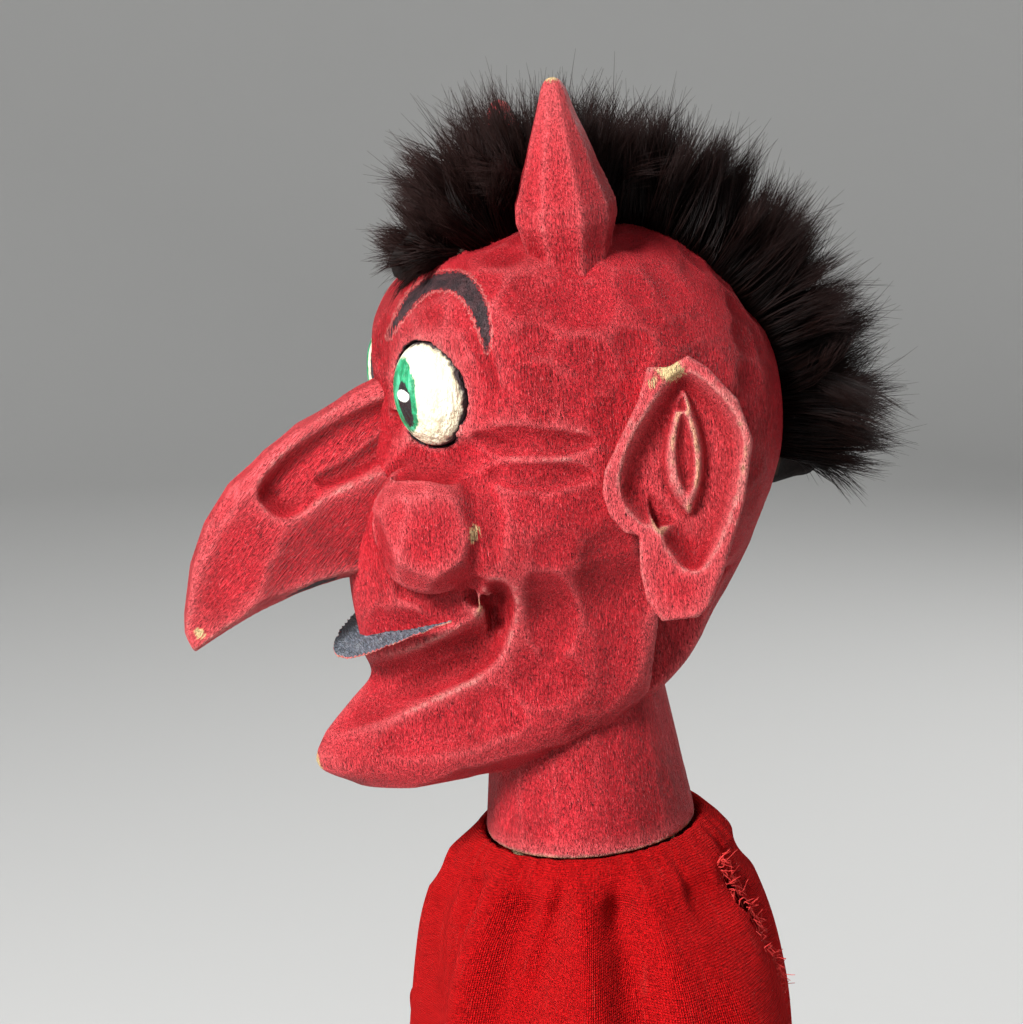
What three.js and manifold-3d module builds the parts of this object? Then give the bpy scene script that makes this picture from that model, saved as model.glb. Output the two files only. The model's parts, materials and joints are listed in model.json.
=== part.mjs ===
// Glove puppet of a horned devil: a carved and stained wooden head on a turned
// neck, a strip of fur over the crown, and a red cloth glove with two sleeves
// that end in carved wooden hands.
//
// Millimetres. +Z is up, -Y is the way the face looks, +X is the puppet's left.
// The origin is the centre of the opening that the operator's hand goes in at.

import * as THREE from 'three';
import { mergeVertices } from 'three/addons/utils/BufferGeometryUtils.js';
import Module from 'manifold-3d';

const wasm = await Module();
wasm.setup();

// ---------------------------------------------------------------- driving dimensions

const NECK_HEIGHT = 262; // hem to the rim of the neck
const HEAD_PITCH = 6; // degrees that the head leans forward at rest
const GAP = 0.3; // clearance between pieces that touch
const CLOTH = 2; // thickness of the glove's cloth with its folds
const FAR = 200; // longer than any piece, for cutting tools

const NECK = {
  rimRadius: 21,
  taper: 0.135, // radius lost for each millimetre of height
  top: 44,
  grooveRadius: 14,
  grooveDepth: 8,
  flangeRadius: 17,
  bottom: -13,
  boreRadius: 11.1,
};
const TUBE = { radius: 10.8, wall: 1.5, bottom: -12.5, top: 58, boreTop: 60 };

const EYE = { at: [17.5, -21, 94], depth: 7, halfWidth: 8.5, halfHeight: 10.3, turn: 40 };
const HORN = { at: [18, 1], foot: 107, height: 37, radius: 9, neckRadius: 7.6, tipRadius: 1.4, lean: 8 };
const RIGHT_HORN_WEAR = 5;
const TENON = { radius: 4, below: 6, above: 14 };
const EAR = { x: 34.5, hingeY: 6, thickness: 8, flare: 24 };
const HIDE = { halfWidth: 8, thickness: 1.3 };
const FUR_HALF_WIDTH = 13;

const COLLAR = { outer: 25.5, inner: 14.3 };
const CORD_RADIUS = 1.2;

const SHOULDER = { x: 54, z: 212, armhole: 21 };
const ARM_DROOP = 35;
const SLEEVE = { start: 62, elbow: 94, end: 130, radius: 15, elbowRadius: 15.5, cuffRadius: 13.4, wall: 1.5 };
const ELBOW = { forward: 36, backward: 6, gap: 0.5 };
const HAND = { wrist: 118, wristRadius: 11.5, bore: 8, boreDepth: 24, tip: 166 };

// ---------------------------------------------------------------- materials

function material(color, roughness) {
  return new THREE.MeshStandardMaterial({ color, roughness, metalness: 0 });
}

const STAINED_WOOD = material(0xb23a42, 0.62);
const EYE_PAINT = material(0xd9d3c0, 0.5);
const FUR = material(0x17100f, 0.95);
const HIDE_LEATHER = material(0x3a2a22, 0.85);
const CARDBOARD = material(0x9c7b52, 0.9);
const RED_COTTON = material(0xd41c17, 0.9);
const TWINE = material(0xb79a6c, 0.9);

// ---------------------------------------------------------------- solids

const radians = THREE.MathUtils.degToRad;

function toSolid(geometry) {
  const bare = geometry.clone();
  bare.deleteAttribute('normal');
  bare.deleteAttribute('uv');
  const welded = mergeVertices(bare, 1e-4);
  const vertProperties = new Float32Array(welded.attributes.position.array);
  const triVerts = new Uint32Array(welded.index.array);
  return new wasm.Manifold(new wasm.Mesh({ numProp: 3, vertProperties, triVerts }));
}

function toGeometry(solid) {
  const mesh = solid.getMesh();
  const geometry = new THREE.BufferGeometry();
  geometry.setAttribute('position', new THREE.BufferAttribute(mesh.vertProperties, 3));
  geometry.setIndex(new THREE.BufferAttribute(mesh.triVerts, 1));
  geometry.computeVertexNormals();
  return geometry;
}

function addPart(group, name, solid, surface) {
  const mesh = new THREE.Mesh(toGeometry(solid), surface);
  mesh.name = name;
  group.add(mesh);
}

function box([x0, y0, z0], [x1, y1, z1]) {
  const geometry = new THREE.BoxGeometry(x1 - x0, y1 - y0, z1 - z0);
  geometry.translate((x0 + x1) / 2, (y0 + y1) / 2, (z0 + z1) / 2);
  return toSolid(geometry);
}

function ellipsoid(at, radii, turnZ = 0, sides = 16, rows = 10) {
  const geometry = new THREE.SphereGeometry(1, sides, rows);
  geometry.rotateX(Math.PI / 2);
  geometry.scale(...radii);
  geometry.rotateZ(radians(turnZ));
  geometry.translate(...at);
  return toSolid(geometry);
}

// A turned solid about Z: profile points are [radius, z], closed on themselves.
function turned(profile, sides = 24) {
  const points = [...profile, profile[0]].map(([radius, z]) => new THREE.Vector2(radius, z));
  const geometry = new THREE.LatheGeometry(points, sides);
  geometry.rotateX(Math.PI / 2);
  return toSolid(geometry);
}

function rod(radius, low, high, sides = 24) {
  const geometry = new THREE.CylinderGeometry(radius, radius, high - low, sides);
  geometry.rotateX(Math.PI / 2);
  geometry.translate(0, 0, (low + high) / 2);
  return toSolid(geometry);
}

// A ring of cord about Z, lying on a round of the given radius.
function cordRing(innerRadius, height) {
  const sides = 6;
  const section = [];
  for (let i = 0; i < sides; i += 1) {
    const angle = (i / sides) * 2 * Math.PI;
    const reach = 1 + Math.cos(angle);
    section.push([innerRadius + CORD_RADIUS * reach, height + CORD_RADIUS * Math.sin(angle)]);
  }
  return turned(section);
}

// An outline of [y, z] points, pushed out to both sides of the middle plane.
function sidePlate(outline, halfWidth) {
  const shape = new THREE.Shape(outline.map(([y, z]) => new THREE.Vector2(y, z)));
  const geometry = new THREE.ExtrudeGeometry(shape, { depth: 2 * halfWidth, bevelEnabled: false });
  geometry.translate(0, 0, -halfWidth);
  geometry.rotateX(Math.PI / 2);
  geometry.rotateZ(Math.PI / 2);
  return toSolid(geometry);
}

// A stack of rings: every row of a cylinder's points is moved by ring(row, angle, reach),
// where reach is 1 on the wall and 0 at the middle of an end.
function stacked(rows, sides, ring) {
  const geometry = new THREE.CylinderGeometry(1, 1, rows - 1, sides, rows - 1);
  geometry.rotateX(Math.PI / 2);
  const position = geometry.attributes.position;
  for (let i = 0; i < position.count; i += 1) {
    const row = Math.round(position.getZ(i) + (rows - 1) / 2);
    const reach = Math.hypot(position.getX(i), position.getY(i));
    const angle = Math.atan2(position.getY(i), position.getX(i));
    position.setXYZ(i, ...ring(row, angle, reach > 0.5 ? 1 : 0));
  }
  return toSolid(geometry);
}

function roundedPower(value, power) {
  return Math.sign(value) * Math.abs(value) ** (2 / power);
}

// Level sections up the Z axis, each { z, front, back, half, taper }: a rounded
// rectangle that narrows towards its front by the share named taper.
function levelLoft(sections, sides, power, grow = 0) {
  return stacked(sections.length, sides, (row, angle, reach) => {
    const { z, front, back, half, taper = 0 } = sections[row];
    const across = reach * roundedPower(Math.cos(angle), power);
    const along = reach * roundedPower(Math.sin(angle), power);
    const narrowing = 1 - taper * (1 - along) / 2;
    const x = across * (half + grow) * narrowing;
    const y = (front + back) / 2 + along * ((back - front) / 2 + grow);
    return [x, y, z];
  });
}

// ---------------------------------------------------------------- head

const HEAD_SECTIONS = [
  { z: 16.8, front: -45, back: -22, half: 9, taper: 0.3 },
  { z: 21, front: -52.3, back: -6, half: 17, taper: 0.5 },
  { z: 27, front: -50.8, back: 10, half: 25, taper: 0.58 },
  { z: 33.5, front: -44.5, back: 20, half: 27.5, taper: 0.5 },
  { z: 37.5, front: -40.5, back: 24, half: 28, taper: 0.44 },
  { z: 42.5, front: -45.5, back: 28, half: 28.5, taper: 0.44 },
  { z: 47, front: -42, back: 31.5, half: 29, taper: 0.36 },
  { z: 54, front: -42.5, back: 36, half: 30, taper: 0.3 },
  { z: 62, front: -42, back: 40, half: 31, taper: 0.25 },
  { z: 72, front: -39, back: 43.4, half: 32.2, taper: 0.2 },
  { z: 82, front: -34.5, back: 43.6, half: 33, taper: 0.12 },
  { z: 91, front: -32.4, back: 42, half: 32.8, taper: 0.1 },
  { z: 99, front: -31, back: 37.8, half: 31.2, taper: 0.06 },
  { z: 106, front: -27.7, back: 32, half: 28, taper: 0 },
  { z: 112, front: -21.8, back: 25.4, half: 23, taper: 0 },
  { z: 116.5, front: -15, back: 18.6, half: 16.6, taper: 0 },
  { z: 119.3, front: -6.5, back: 11, half: 9.5, taper: 0 },
];

// The carved block, or the same form grown all over by a clearance or a thickness.
function headForm(grow = 0) {
  const last = HEAD_SECTIONS.length - 1;
  const sections = HEAD_SECTIONS.map((section, row) => {
    const rise = row === last ? grow : 0;
    return { ...section, z: section.z + rise + grow * Math.max(0, section.z - 90) / 40 };
  });
  return levelLoft(sections, 24, 2.15, grow);
}

// The nose's ridge and underside, from the face out to the tip: [y, z] pairs with the
// half widths of the ridge, the cheek of the nose and the underside.
const NOSE_SECTIONS = [
  { ridge: [-28.5, 96.5], under: [-36.5, 57.4], halves: [3.5, 12.5, 9] },
  { ridge: [-40, 91.3], under: [-43.1, 57.9], halves: [3.2, 11.5, 8.5] },
  { ridge: [-48, 88.3], under: [-49, 57], halves: [3, 10.2, 8] },
  { ridge: [-56.1, 83.2], under: [-55, 55.6], halves: [2.8, 8.8, 7] },
  { ridge: [-62.4, 78.5], under: [-60.5, 53.8], halves: [2.6, 7.5, 6] },
  { ridge: [-68, 71.7], under: [-65, 52], halves: [2.4, 6.2, 4.8] },
  { ridge: [-71.4, 64.5], under: [-68.5, 50.3], halves: [2.2, 5, 3.8] },
  { ridge: [-74, 55], under: [-73, 47.8], halves: [1.6, 3, 2] },
];

function makeNose() {
  const corners = 8;
  return stacked(NOSE_SECTIONS.length, corners, (row, angle, reach) => {
    const { ridge, under, halves } = NOSE_SECTIONS[row];
    const corner = Math.round((angle / (2 * Math.PI)) * corners + corners) % corners;
    const [ridgeHalf, cheekHalf, underHalf] = halves;
    const across = [cheekHalf, cheekHalf, ridgeHalf, -ridgeHalf, -cheekHalf, -cheekHalf, -underHalf, underHalf];
    const down = [0.7, 0.32, 0, 0, 0.32, 0.7, 1, 1];
    const share = reach ? down[corner] : 0.5;
    const x = reach ? across[corner] : 0;
    const y = THREE.MathUtils.lerp(ridge[0], under[0], share);
    const z = THREE.MathUtils.lerp(ridge[1], under[1], share);
    return [x, y, z];
  });
}

// The flat-bottomed notch in the face that the nose is glued into.
function noseNotch() {
  const halfWidth = NOSE_SECTIONS[0].halves[1] + GAP;
  return sidePlate([[-36.1, 57], [-28.1, 96.9], [-60, 98], [-60, 57]], halfWidth);
}

function cheek(side) {
  return ellipsoid([side * 17.5, -27.5, 68.5], [9, 11.6, 11.4], 0, 14, 8);
}

function eyeBall(side, grow = 0) {
  const { at, depth, halfWidth, halfHeight, turn } = EYE;
  const radii = [halfWidth + grow, depth + grow, halfHeight + grow];
  return ellipsoid([side * at[0], at[1], at[2]], radii, side * turn);
}

function hornForm(side) {
  const { at, foot, height, radius, neckRadius, tipRadius, lean } = HORN;
  const top = foot + height - (side < 0 ? RIGHT_HORN_WEAR : 0);
  const cone = turned([
    [0, foot - 6], [neckRadius, foot - 6], [neckRadius, foot + 2], [radius, foot + 8],
    [tipRadius + 0.8, top - 2], [tipRadius * 0.4, top], [0, top],
  ], 9);
  const outline = cone.translate([0, 0, -foot]).rotate([0, side * lean, 0]);
  return outline.translate([side * at[0], at[1], foot]);
}

function hornTenon(side, grow = 0) {
  const { at, foot, lean } = HORN;
  const pin = rod(TENON.radius + grow, -TENON.below - grow, TENON.above, 14);
  return pin.rotate([0, side * lean, 0]).translate([side * at[0], at[1], foot]);
}

// The ear's outline from the side, relative to the line where it meets the skull.
function earOutline() {
  const shape = new THREE.Shape();
  shape.moveTo(9.5, 97.8);
  shape.quadraticCurveTo(-4, 90, -7, 76);
  shape.quadraticCurveTo(-6.5, 69, -1.6, 66);
  shape.quadraticCurveTo(-2.6, 58, -1.5, 51);
  shape.quadraticCurveTo(2, 46.5, 8.5, 50);
  shape.quadraticCurveTo(16, 60, 19.5, 83);
  shape.quadraticCurveTo(17, 92, 9.5, 97.8);
  return shape;
}

function makeEar(side) {
  const plate = new THREE.ExtrudeGeometry(earOutline(), {
    depth: EAR.thickness - 2,
    bevelEnabled: true,
    bevelSize: 1,
    bevelThickness: 1,
    bevelSegments: 1,
    curveSegments: 5,
  });
  plate.rotateX(Math.PI / 2);
  plate.rotateZ(Math.PI / 2);
  const hollow = ellipsoid([EAR.thickness + 1.5, 7, 75], [6.5, 7.5, 17], 0, 14, 8);
  const rib = ellipsoid([EAR.thickness - 5, 6.5, 77], [5, 2.6, 12], 0, 8, 6);
  const blank = toSolid(plate).subtract(hollow).add(rib);
  const flared = blank.rotate([0, 0, -EAR.flare]).translate([EAR.x - 4, EAR.hingeY, 0]);
  const placed = side > 0 ? flared : flared.mirror([1, 0, 0]);
  return placed.subtract(headForm(GAP));
}

function makeHeadBlock() {
  let block = headForm();
  for (const side of [1, -1]) {
    block = block.add(cheek(side));
  }
  for (const side of [1, -1]) {
    block = block.subtract(eyeBall(side, GAP)).subtract(hornTenon(side, GAP));
  }
  const { rimRadius, taper, top, boreRadius } = NECK;
  const socketFoot = 10;
  const socket = turned([
    [0, socketFoot], [rimRadius - taper * socketFoot + GAP, socketFoot],
    [rimRadius - taper * top + GAP, top + GAP], [0, top + GAP],
  ]);
  return block.subtract(noseNotch()).subtract(socket).subtract(rod(boreRadius, top, TUBE.boreTop));
}

// The strip that the hide and its fur cover: over the crown, from the forehead to the back.
const CREST_STRIP = [[-26, 104], [-26, 150], [90, 150], [90, 66], [20, 66], [0, 96]];

// The outline of the pile, which stands about as far off the skull all along the strip.
const FUR_OUTLINE = [
  [-24, 110], [-27, 121], [-22, 131], [-12, 138], [0, 142], [14, 142], [28, 137.5], [40, 130],
  [49, 121], [57, 110], [63, 98], [67.5, 86], [66.5, 74], [60, 65], [50, 63], [42, 66],
  [20, 80], [0, 100],
];

function makeHide() {
  const shell = headForm(GAP + HIDE.thickness).subtract(headForm(GAP));
  return shell.intersect(sidePlate(CREST_STRIP, HIDE.halfWidth));
}

function makeFur() {
  const clearance = headForm(2 * GAP + HIDE.thickness);
  return sidePlate(FUR_OUTLINE, FUR_HALF_WIDTH)
    .intersect(ellipsoid([0, 14, 92], [FUR_HALF_WIDTH * 1.25, 64, 58], 0, 16, 16))
    .subtract(clearance)
    .subtract(hornClearance());
}

// Room for the horns beside the fur.
function hornClearance() {
  const reach = HORN.radius + GAP;
  const { at, foot } = HORN;
  const column = (side) => rod(reach, foot - 10, foot + 50, 12).translate([side * (at[0] + 1), at[1], 0]);
  return column(1).add(column(-1));
}

function makeNeck() {
  const { rimRadius, taper, top, grooveRadius, grooveDepth, flangeRadius, bottom, boreRadius } = NECK;
  return turned([
    [boreRadius, bottom], [flangeRadius, bottom], [flangeRadius, -grooveDepth],
    [grooveRadius, -grooveDepth], [grooveRadius, 0], [rimRadius, 0],
    [rimRadius - taper * top, top], [boreRadius, top],
  ]);
}

function makeTube() {
  const { radius, wall, bottom, top } = TUBE;
  return turned([[radius - wall, bottom], [radius, bottom], [radius, top], [radius - wall, top]], 24);
}

function buildHead() {
  const head = new THREE.Group();
  head.rotation.x = radians(HEAD_PITCH);
  head.position.z = NECK_HEIGHT;
  addPart(head, 'head_block', makeHeadBlock(), STAINED_WOOD);
  addPart(head, 'neck', makeNeck(), STAINED_WOOD);
  addPart(head, 'finger_tube', makeTube(), CARDBOARD);
  addPart(head, 'nose', makeNose(), STAINED_WOOD);
  addPart(head, 'crest_hide', makeHide(), HIDE_LEATHER);
  addPart(head, 'crest_fur', makeFur(), FUR);
  for (const [sideName, side] of [['left', 1], ['right', -1]]) {
    const horn = hornForm(side).subtract(headForm(GAP)).add(hornTenon(side));
    addPart(head, `${sideName}_horn`, horn, STAINED_WOOD);
    addPart(head, `${sideName}_ear`, makeEar(side), STAINED_WOOD);
    addPart(head, `${sideName}_eye`, eyeBall(side), EYE_PAINT);
  }
  return head;
}

// ---------------------------------------------------------------- collar

// The glove's gathered top edge, bound into the neck's groove and turned out over its cord.
function buildCollar() {
  const collar = new THREE.Group();
  collar.rotation.x = radians(HEAD_PITCH);
  collar.position.z = NECK_HEIGHT;
  const { outer, inner } = COLLAR;
  const bound = inner + 1.3;
  const low = -7.4;
  const cloth = turned([
    [inner, low], [bound, low], [bound, -2.4], [outer - 3.5, -2.4], [outer - 1.6, low],
    [outer, low + 0.8], [outer, -2.6], [outer - 2.4, -0.5], [inner, -0.5],
  ]);
  addPart(collar, 'collar_gather', cloth, RED_COTTON);
  addPart(collar, 'neck_cord', cordRing(bound + GAP, -5), TWINE);
  return collar;
}

// ---------------------------------------------------------------- glove

const GLOVE_SECTIONS = [
  { z: 0, front: -46, back: 46, half: 70 },
  { z: 60, front: -43, back: 43.5, half: 65 },
  { z: 120, front: -40, back: 41.5, half: 58 },
  { z: 180, front: -38.5, back: 40, half: 53 },
  { z: 214, front: -38, back: 39.5, half: 55 },
  { z: 232, front: -37.3, back: 38, half: 51 },
  { z: 244, front: -35, back: 34.5, half: 42 },
  { z: 253, front: -32, back: 31, half: 34 },
  { z: NECK_HEIGHT - 2.5, front: -29.5, back: 28.5, half: 29 },
];
const HEM = { height: 12, extra: 1 };
const GLOVE_ROUNDING = { sides: 28, power: 2.4 };

// The space inside the cloth: it runs out past both ends, and is narrower in the turned hem.
function gloveInside() {
  const { lerp } = THREE.MathUtils;
  const [foot, above, ...rest] = GLOVE_SECTIONS;
  const share = HEM.height / above.z;
  const hemTop = {
    z: HEM.height,
    front: lerp(foot.front, above.front, share),
    back: lerp(foot.back, above.back, share),
    half: lerp(foot.half, above.half, share),
  };
  const narrowed = ({ z, front, back, half }) => {
    return { z, front: front + HEM.extra, back: back - HEM.extra, half: half - HEM.extra };
  };
  const end = rest[rest.length - 1];
  const sections = [
    narrowed({ ...foot, z: -1 }), narrowed(hemTop), { ...hemTop, z: HEM.height + HEM.extra },
    above, ...rest, { ...end, z: end.z + 1 },
  ];
  return levelLoft(sections, GLOVE_ROUNDING.sides, GLOVE_ROUNDING.power, -CLOTH);
}

function gloveShell() {
  const outside = levelLoft(GLOVE_SECTIONS, GLOVE_ROUNDING.sides, GLOVE_ROUNDING.power);
  return outside.subtract(gloveInside());
}

function buildGlove() {
  const glove = new THREE.Group();
  let shell = gloveShell();
  for (const side of [1, -1]) {
    const { x, z, armhole } = SHOULDER;
    shell = shell.subtract(ellipsoid([side * x, 0, z], [armhole, armhole, armhole], 0, 20, 12));
  }
  const front = box([-FAR, -FAR, -10], [FAR, -GAP / 2, 2 * FAR]);
  const back = box([-FAR, GAP / 2, -10], [FAR, FAR, 2 * FAR]);
  addPart(glove, 'glove_front', shell.intersect(front), RED_COTTON);
  addPart(glove, 'glove_back', shell.intersect(back), RED_COTTON);
  return glove;
}

// ---------------------------------------------------------------- arms

// A tube along +X through the shoulder's height: stations are [x, outer radius].
function armTube(stations, wall) {
  const outer = stations.map(([x, radius]) => [radius, x]);
  const inner = [...stations].reverse().map(([x, radius]) => [radius - wall, x]);
  return turned([...outer, ...inner], 20).rotate([0, 90, 0]);
}

// The wedge between sleeve and cuff that lets the elbow bend forwards.
function elbowWedge() {
  const { forward, backward, gap } = ELBOW;
  const reach = SLEEVE.elbowRadius + 3;
  const open = gap + reach * Math.tan(radians(forward));
  const shut = gap + reach * Math.tan(radians(backward));
  const outline = [[-open, -reach], [open, -reach], [gap, 0], [shut, reach], [-shut, reach], [-gap, 0]];
  const shape = new THREE.Shape(outline.map(([x, y]) => new THREE.Vector2(x, y)));
  const geometry = new THREE.ExtrudeGeometry(shape, { depth: 2 * reach, bevelEnabled: false });
  geometry.translate(SLEEVE.elbow, 0, -reach);
  return toSolid(geometry);
}

function makeSleeve() {
  const { start, elbow, radius, elbowRadius, wall } = SLEEVE;
  const beyond = elbow + 1;
  const tube = armTube([[start, radius], [beyond, elbowRadius]], wall);
  return tube.subtract(elbowWedge()).subtract(box([elbow, -FAR, -FAR], [FAR, FAR, FAR]));
}

function makeCuff() {
  const { elbow, end, elbowRadius, cuffRadius, wall } = SLEEVE;
  const gathered = HAND.wristRadius + GAP + wall;
  const tube = armTube([[elbow - 1, elbowRadius], [elbow + 22, cuffRadius], [end, gathered]], wall);
  return tube.subtract(elbowWedge()).subtract(box([0, -FAR, -FAR], [elbow, FAR, FAR]));
}

// A mitten-like carved hand along +X: round wrist with a finger bore, flat palm towards -Y,
// four fingers together and the thumb standing up.
function makeHand() {
  const { wrist, wristRadius, bore, boreDepth, tip } = HAND;
  const stub = rod(wristRadius, wrist, wrist + 20, 16).rotate([0, 90, 0]);
  const palm = ellipsoid([wrist + 26, 0, 0], [14, 10, 14.5], 0, 12, 8);
  const fingers = ellipsoid([tip - 14, -1.5, -1.5], [14, 6.2, 11.5], -6, 12, 8);
  const thumbRest = ellipsoid([0, 0, 0], [5, 5, 12.5], 0, 8, 6);
  const thumb = thumbRest.rotate([0, 24, 0]).translate([wrist + 27, -3, 15]);
  const body = stub.add(palm).add(fingers).add(thumb);
  const hole = rod(bore, wrist - 1, wrist + boreDepth, 16).rotate([0, 90, 0]);
  return body.subtract(hole);
}

function makeWristCord() {
  return cordRing(HAND.wristRadius + 2 * GAP + SLEEVE.wall, SLEEVE.end - 3).rotate([0, 90, 0]);
}

// The pieces lie along X from the glove's middle, and the whole arm hangs from its shoulder.
function buildArm(sideName, side) {
  const arm = new THREE.Group();
  arm.position.x = -side * SHOULDER.x;
  const shoulder = new THREE.Group();
  shoulder.position.set(side * SHOULDER.x, 0, SHOULDER.z);
  shoulder.rotation.y = side * THREE.MathUtils.degToRad(ARM_DROOP);
  shoulder.add(arm);
  const pieces = [
    ['sleeve', makeSleeve(), RED_COTTON],
    ['cuff', makeCuff(), RED_COTTON],
    ['hand', makeHand(), STAINED_WOOD],
    ['wrist_cord', makeWristCord(), TWINE],
  ];
  for (const [name, solid, surface] of pieces) {
    const sided = side > 0 ? solid : solid.mirror([1, 0, 0]);
    addPart(arm, `${sideName}_${name}`, sided, surface);
  }
  return shoulder;
}

// ---------------------------------------------------------------- assembly

const group = new THREE.Group();
group.add(buildHead());
group.add(buildCollar());
group.add(buildGlove());
group.add(buildArm('left', 1));
group.add(buildArm('right', -1));

export default group;
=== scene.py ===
"""Looks of a carved devil glove puppet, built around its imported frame. Blender 4.5."""

import json
import math

import bpy
import numpy as np
from mathutils import Euler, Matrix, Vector


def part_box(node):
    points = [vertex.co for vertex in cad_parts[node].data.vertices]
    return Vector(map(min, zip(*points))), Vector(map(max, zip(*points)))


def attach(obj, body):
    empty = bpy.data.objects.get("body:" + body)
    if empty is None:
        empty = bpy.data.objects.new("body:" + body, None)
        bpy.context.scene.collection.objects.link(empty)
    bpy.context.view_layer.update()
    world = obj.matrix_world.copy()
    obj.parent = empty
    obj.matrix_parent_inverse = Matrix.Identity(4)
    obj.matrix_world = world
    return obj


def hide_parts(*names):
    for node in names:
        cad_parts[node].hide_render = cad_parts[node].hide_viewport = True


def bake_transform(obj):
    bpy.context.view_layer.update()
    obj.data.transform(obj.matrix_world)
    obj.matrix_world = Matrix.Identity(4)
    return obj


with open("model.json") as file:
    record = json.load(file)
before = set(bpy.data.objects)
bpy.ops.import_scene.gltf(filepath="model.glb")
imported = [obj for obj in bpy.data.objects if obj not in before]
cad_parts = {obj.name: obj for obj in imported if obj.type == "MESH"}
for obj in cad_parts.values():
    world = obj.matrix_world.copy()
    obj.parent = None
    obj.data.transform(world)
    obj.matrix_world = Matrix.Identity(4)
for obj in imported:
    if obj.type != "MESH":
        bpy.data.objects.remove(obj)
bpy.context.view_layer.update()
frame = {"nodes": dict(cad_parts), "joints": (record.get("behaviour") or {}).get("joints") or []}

MM = 0.001
JOINTS = {joint["name"]: joint for joint in frame["joints"]}
NECK = np.array(JOINTS["head_turn"]["pos_m"])
TILT_AXIS = JOINTS["head_turn"]["axis"]
STEP = 0.7
PITCH = math.atan2(-TILT_AXIS[1], TILT_AXIS[2])
HEAD_TURN = np.array(Euler((PITCH, 0, 0)).to_matrix())
# the side outlines of the head are drawn on planes of equal x, as they look from this point
SIDE_VIEW = (401.7, -99.9, 162.3)


# ---------------------------------------------------------------- clay: carving in a block of distances

def ellipsoid(centre, radii, turn=(0, 0, 0)):
    """A ball stretched to three radii and turned by degrees about X, Y and Z."""
    centre = np.array(centre, float)
    spin = np.array(Euler([math.radians(a) for a in turn]).to_matrix())
    rx, ry, rz = radii

    def distance(x, y, z):
        x, y, z = x - centre[0], y - centre[1], z - centre[2]
        u = x * spin[0, 0] + y * spin[1, 0] + z * spin[2, 0]
        v = x * spin[0, 1] + y * spin[1, 1] + z * spin[2, 1]
        w = x * spin[0, 2] + y * spin[1, 2] + z * spin[2, 2]
        near = np.sqrt((u / rx) ** 2 + (v / ry) ** 2 + (w / rz) ** 2)
        slope = np.sqrt((u / rx ** 2) ** 2 + (v / ry ** 2) ** 2 + (w / rz ** 2) ** 2)
        return near * (near - 1) / np.maximum(slope, 1e-6)

    reach = max(radii)
    return distance, centre - reach, centre + reach


def half_space(point, normal):
    """Everything behind a plane; it has no bounds of its own."""
    normal = np.array(normal, float)
    normal /= np.linalg.norm(normal)
    offset = float(np.dot(normal, point))

    def distance(x, y, z):
        return x * normal[0] + y * normal[1] + z * normal[2] - offset

    return distance, None, None


def rod(start, end, start_radius, end_radius):
    """A round bar between two points, with ball ends and a radius that may change."""
    start, end = np.array(start, float), np.array(end, float)
    along = end - start
    length2 = max(float(along @ along), 1e-9)

    def distance(x, y, z):
        x, y, z = x - start[0], y - start[1], z - start[2]
        share = np.clip((x * along[0] + y * along[1] + z * along[2]) / length2, 0, 1)
        gap2 = (x - share * along[0]) ** 2 + (y - share * along[1]) ** 2 + (z - share * along[2]) ** 2
        return np.sqrt(gap2) - (start_radius + share * (end_radius - start_radius))

    reach = max(start_radius, end_radius)
    return distance, np.minimum(start, end) - reach, np.maximum(start, end) + reach


def outline_distance(points, u, v):
    """Signed distance to a closed outline in a plane, negative inside."""
    points = np.array(points, float)
    nearest = np.full(np.broadcast(u, v).shape, 1e9)
    inside = np.zeros(nearest.shape, bool)
    for (au, av), (bu, bv) in zip(points, np.roll(points, -1, axis=0)):
        eu, ev = bu - au, bv - av
        share = np.clip(((u - au) * eu + (v - av) * ev) / (eu * eu + ev * ev), 0, 1)
        nearest = np.minimum(nearest, (u - au - share * eu) ** 2 + (v - av - share * ev) ** 2)
        crosses = (av > v) != (bv > v)
        level = ev if abs(ev) > 1e-9 else 1e-9
        inside ^= crosses & (u < eu * (v - av) / level + au)
    return np.where(inside, -1, 1) * np.sqrt(nearest)


def drawn_at(x, y, z, plane):
    """Where a point shows on the side drawing at x = plane, as (y, z)."""
    share = (plane - SIDE_VIEW[0]) / (x - SIDE_VIEW[0])
    return SIDE_VIEW[1] + (y - SIDE_VIEW[1]) * share, SIDE_VIEW[2] + (z - SIDE_VIEW[2]) * share


def smooth_curve(at, stations, values):
    """A curve through (station, value) pairs without overshoot between them."""
    stations, values = np.array(stations, float), np.array(values, float)
    slopes = np.gradient(values, stations)
    index = np.clip(np.searchsorted(stations, at) - 1, 0, len(stations) - 2)
    width = stations[index + 1] - stations[index]
    t = np.clip((at - stations[index]) / width, 0, 1)
    t2, t3 = t * t, t * t * t
    low, high = values[index], values[index + 1]
    bend = (t3 - 2 * t2 + t) * slopes[index] + (t3 - t2) * slopes[index + 1]
    return (2 * t3 - 3 * t2 + 1) * low + (3 * t2 - 2 * t3) * high + bend * width


def rounded(points, steps=5):
    """A closed outline through points, with smooth bends between them."""
    points = np.array(points, float)
    before, after = np.roll(points, 1, axis=0), np.roll(points, -1, axis=0)
    far = np.roll(points, -2, axis=0)
    line = []
    for t in np.arange(steps) / steps:
        line.append(0.5 * (2 * points + (after - before) * t
                           + (2 * before - 5 * points + 4 * after - far) * t ** 2
                           + (3 * points - before - 3 * after + far) * t ** 3))
    return np.stack(line, axis=1).reshape(-1, 2)


def faceted(shape, *planes):
    """A shape with flat cuts, each a point and the direction it faces."""
    distance, low, high = shape
    cuts = [half_space(point, normal)[0] for point, normal in planes]

    def cut_distance(x, y, z):
        result = distance(x, y, z)
        for cut in cuts:
            result = np.maximum(result, cut(x, y, z))
        return result

    return cut_distance, low, high


CAP_REACH = 1.6


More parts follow.
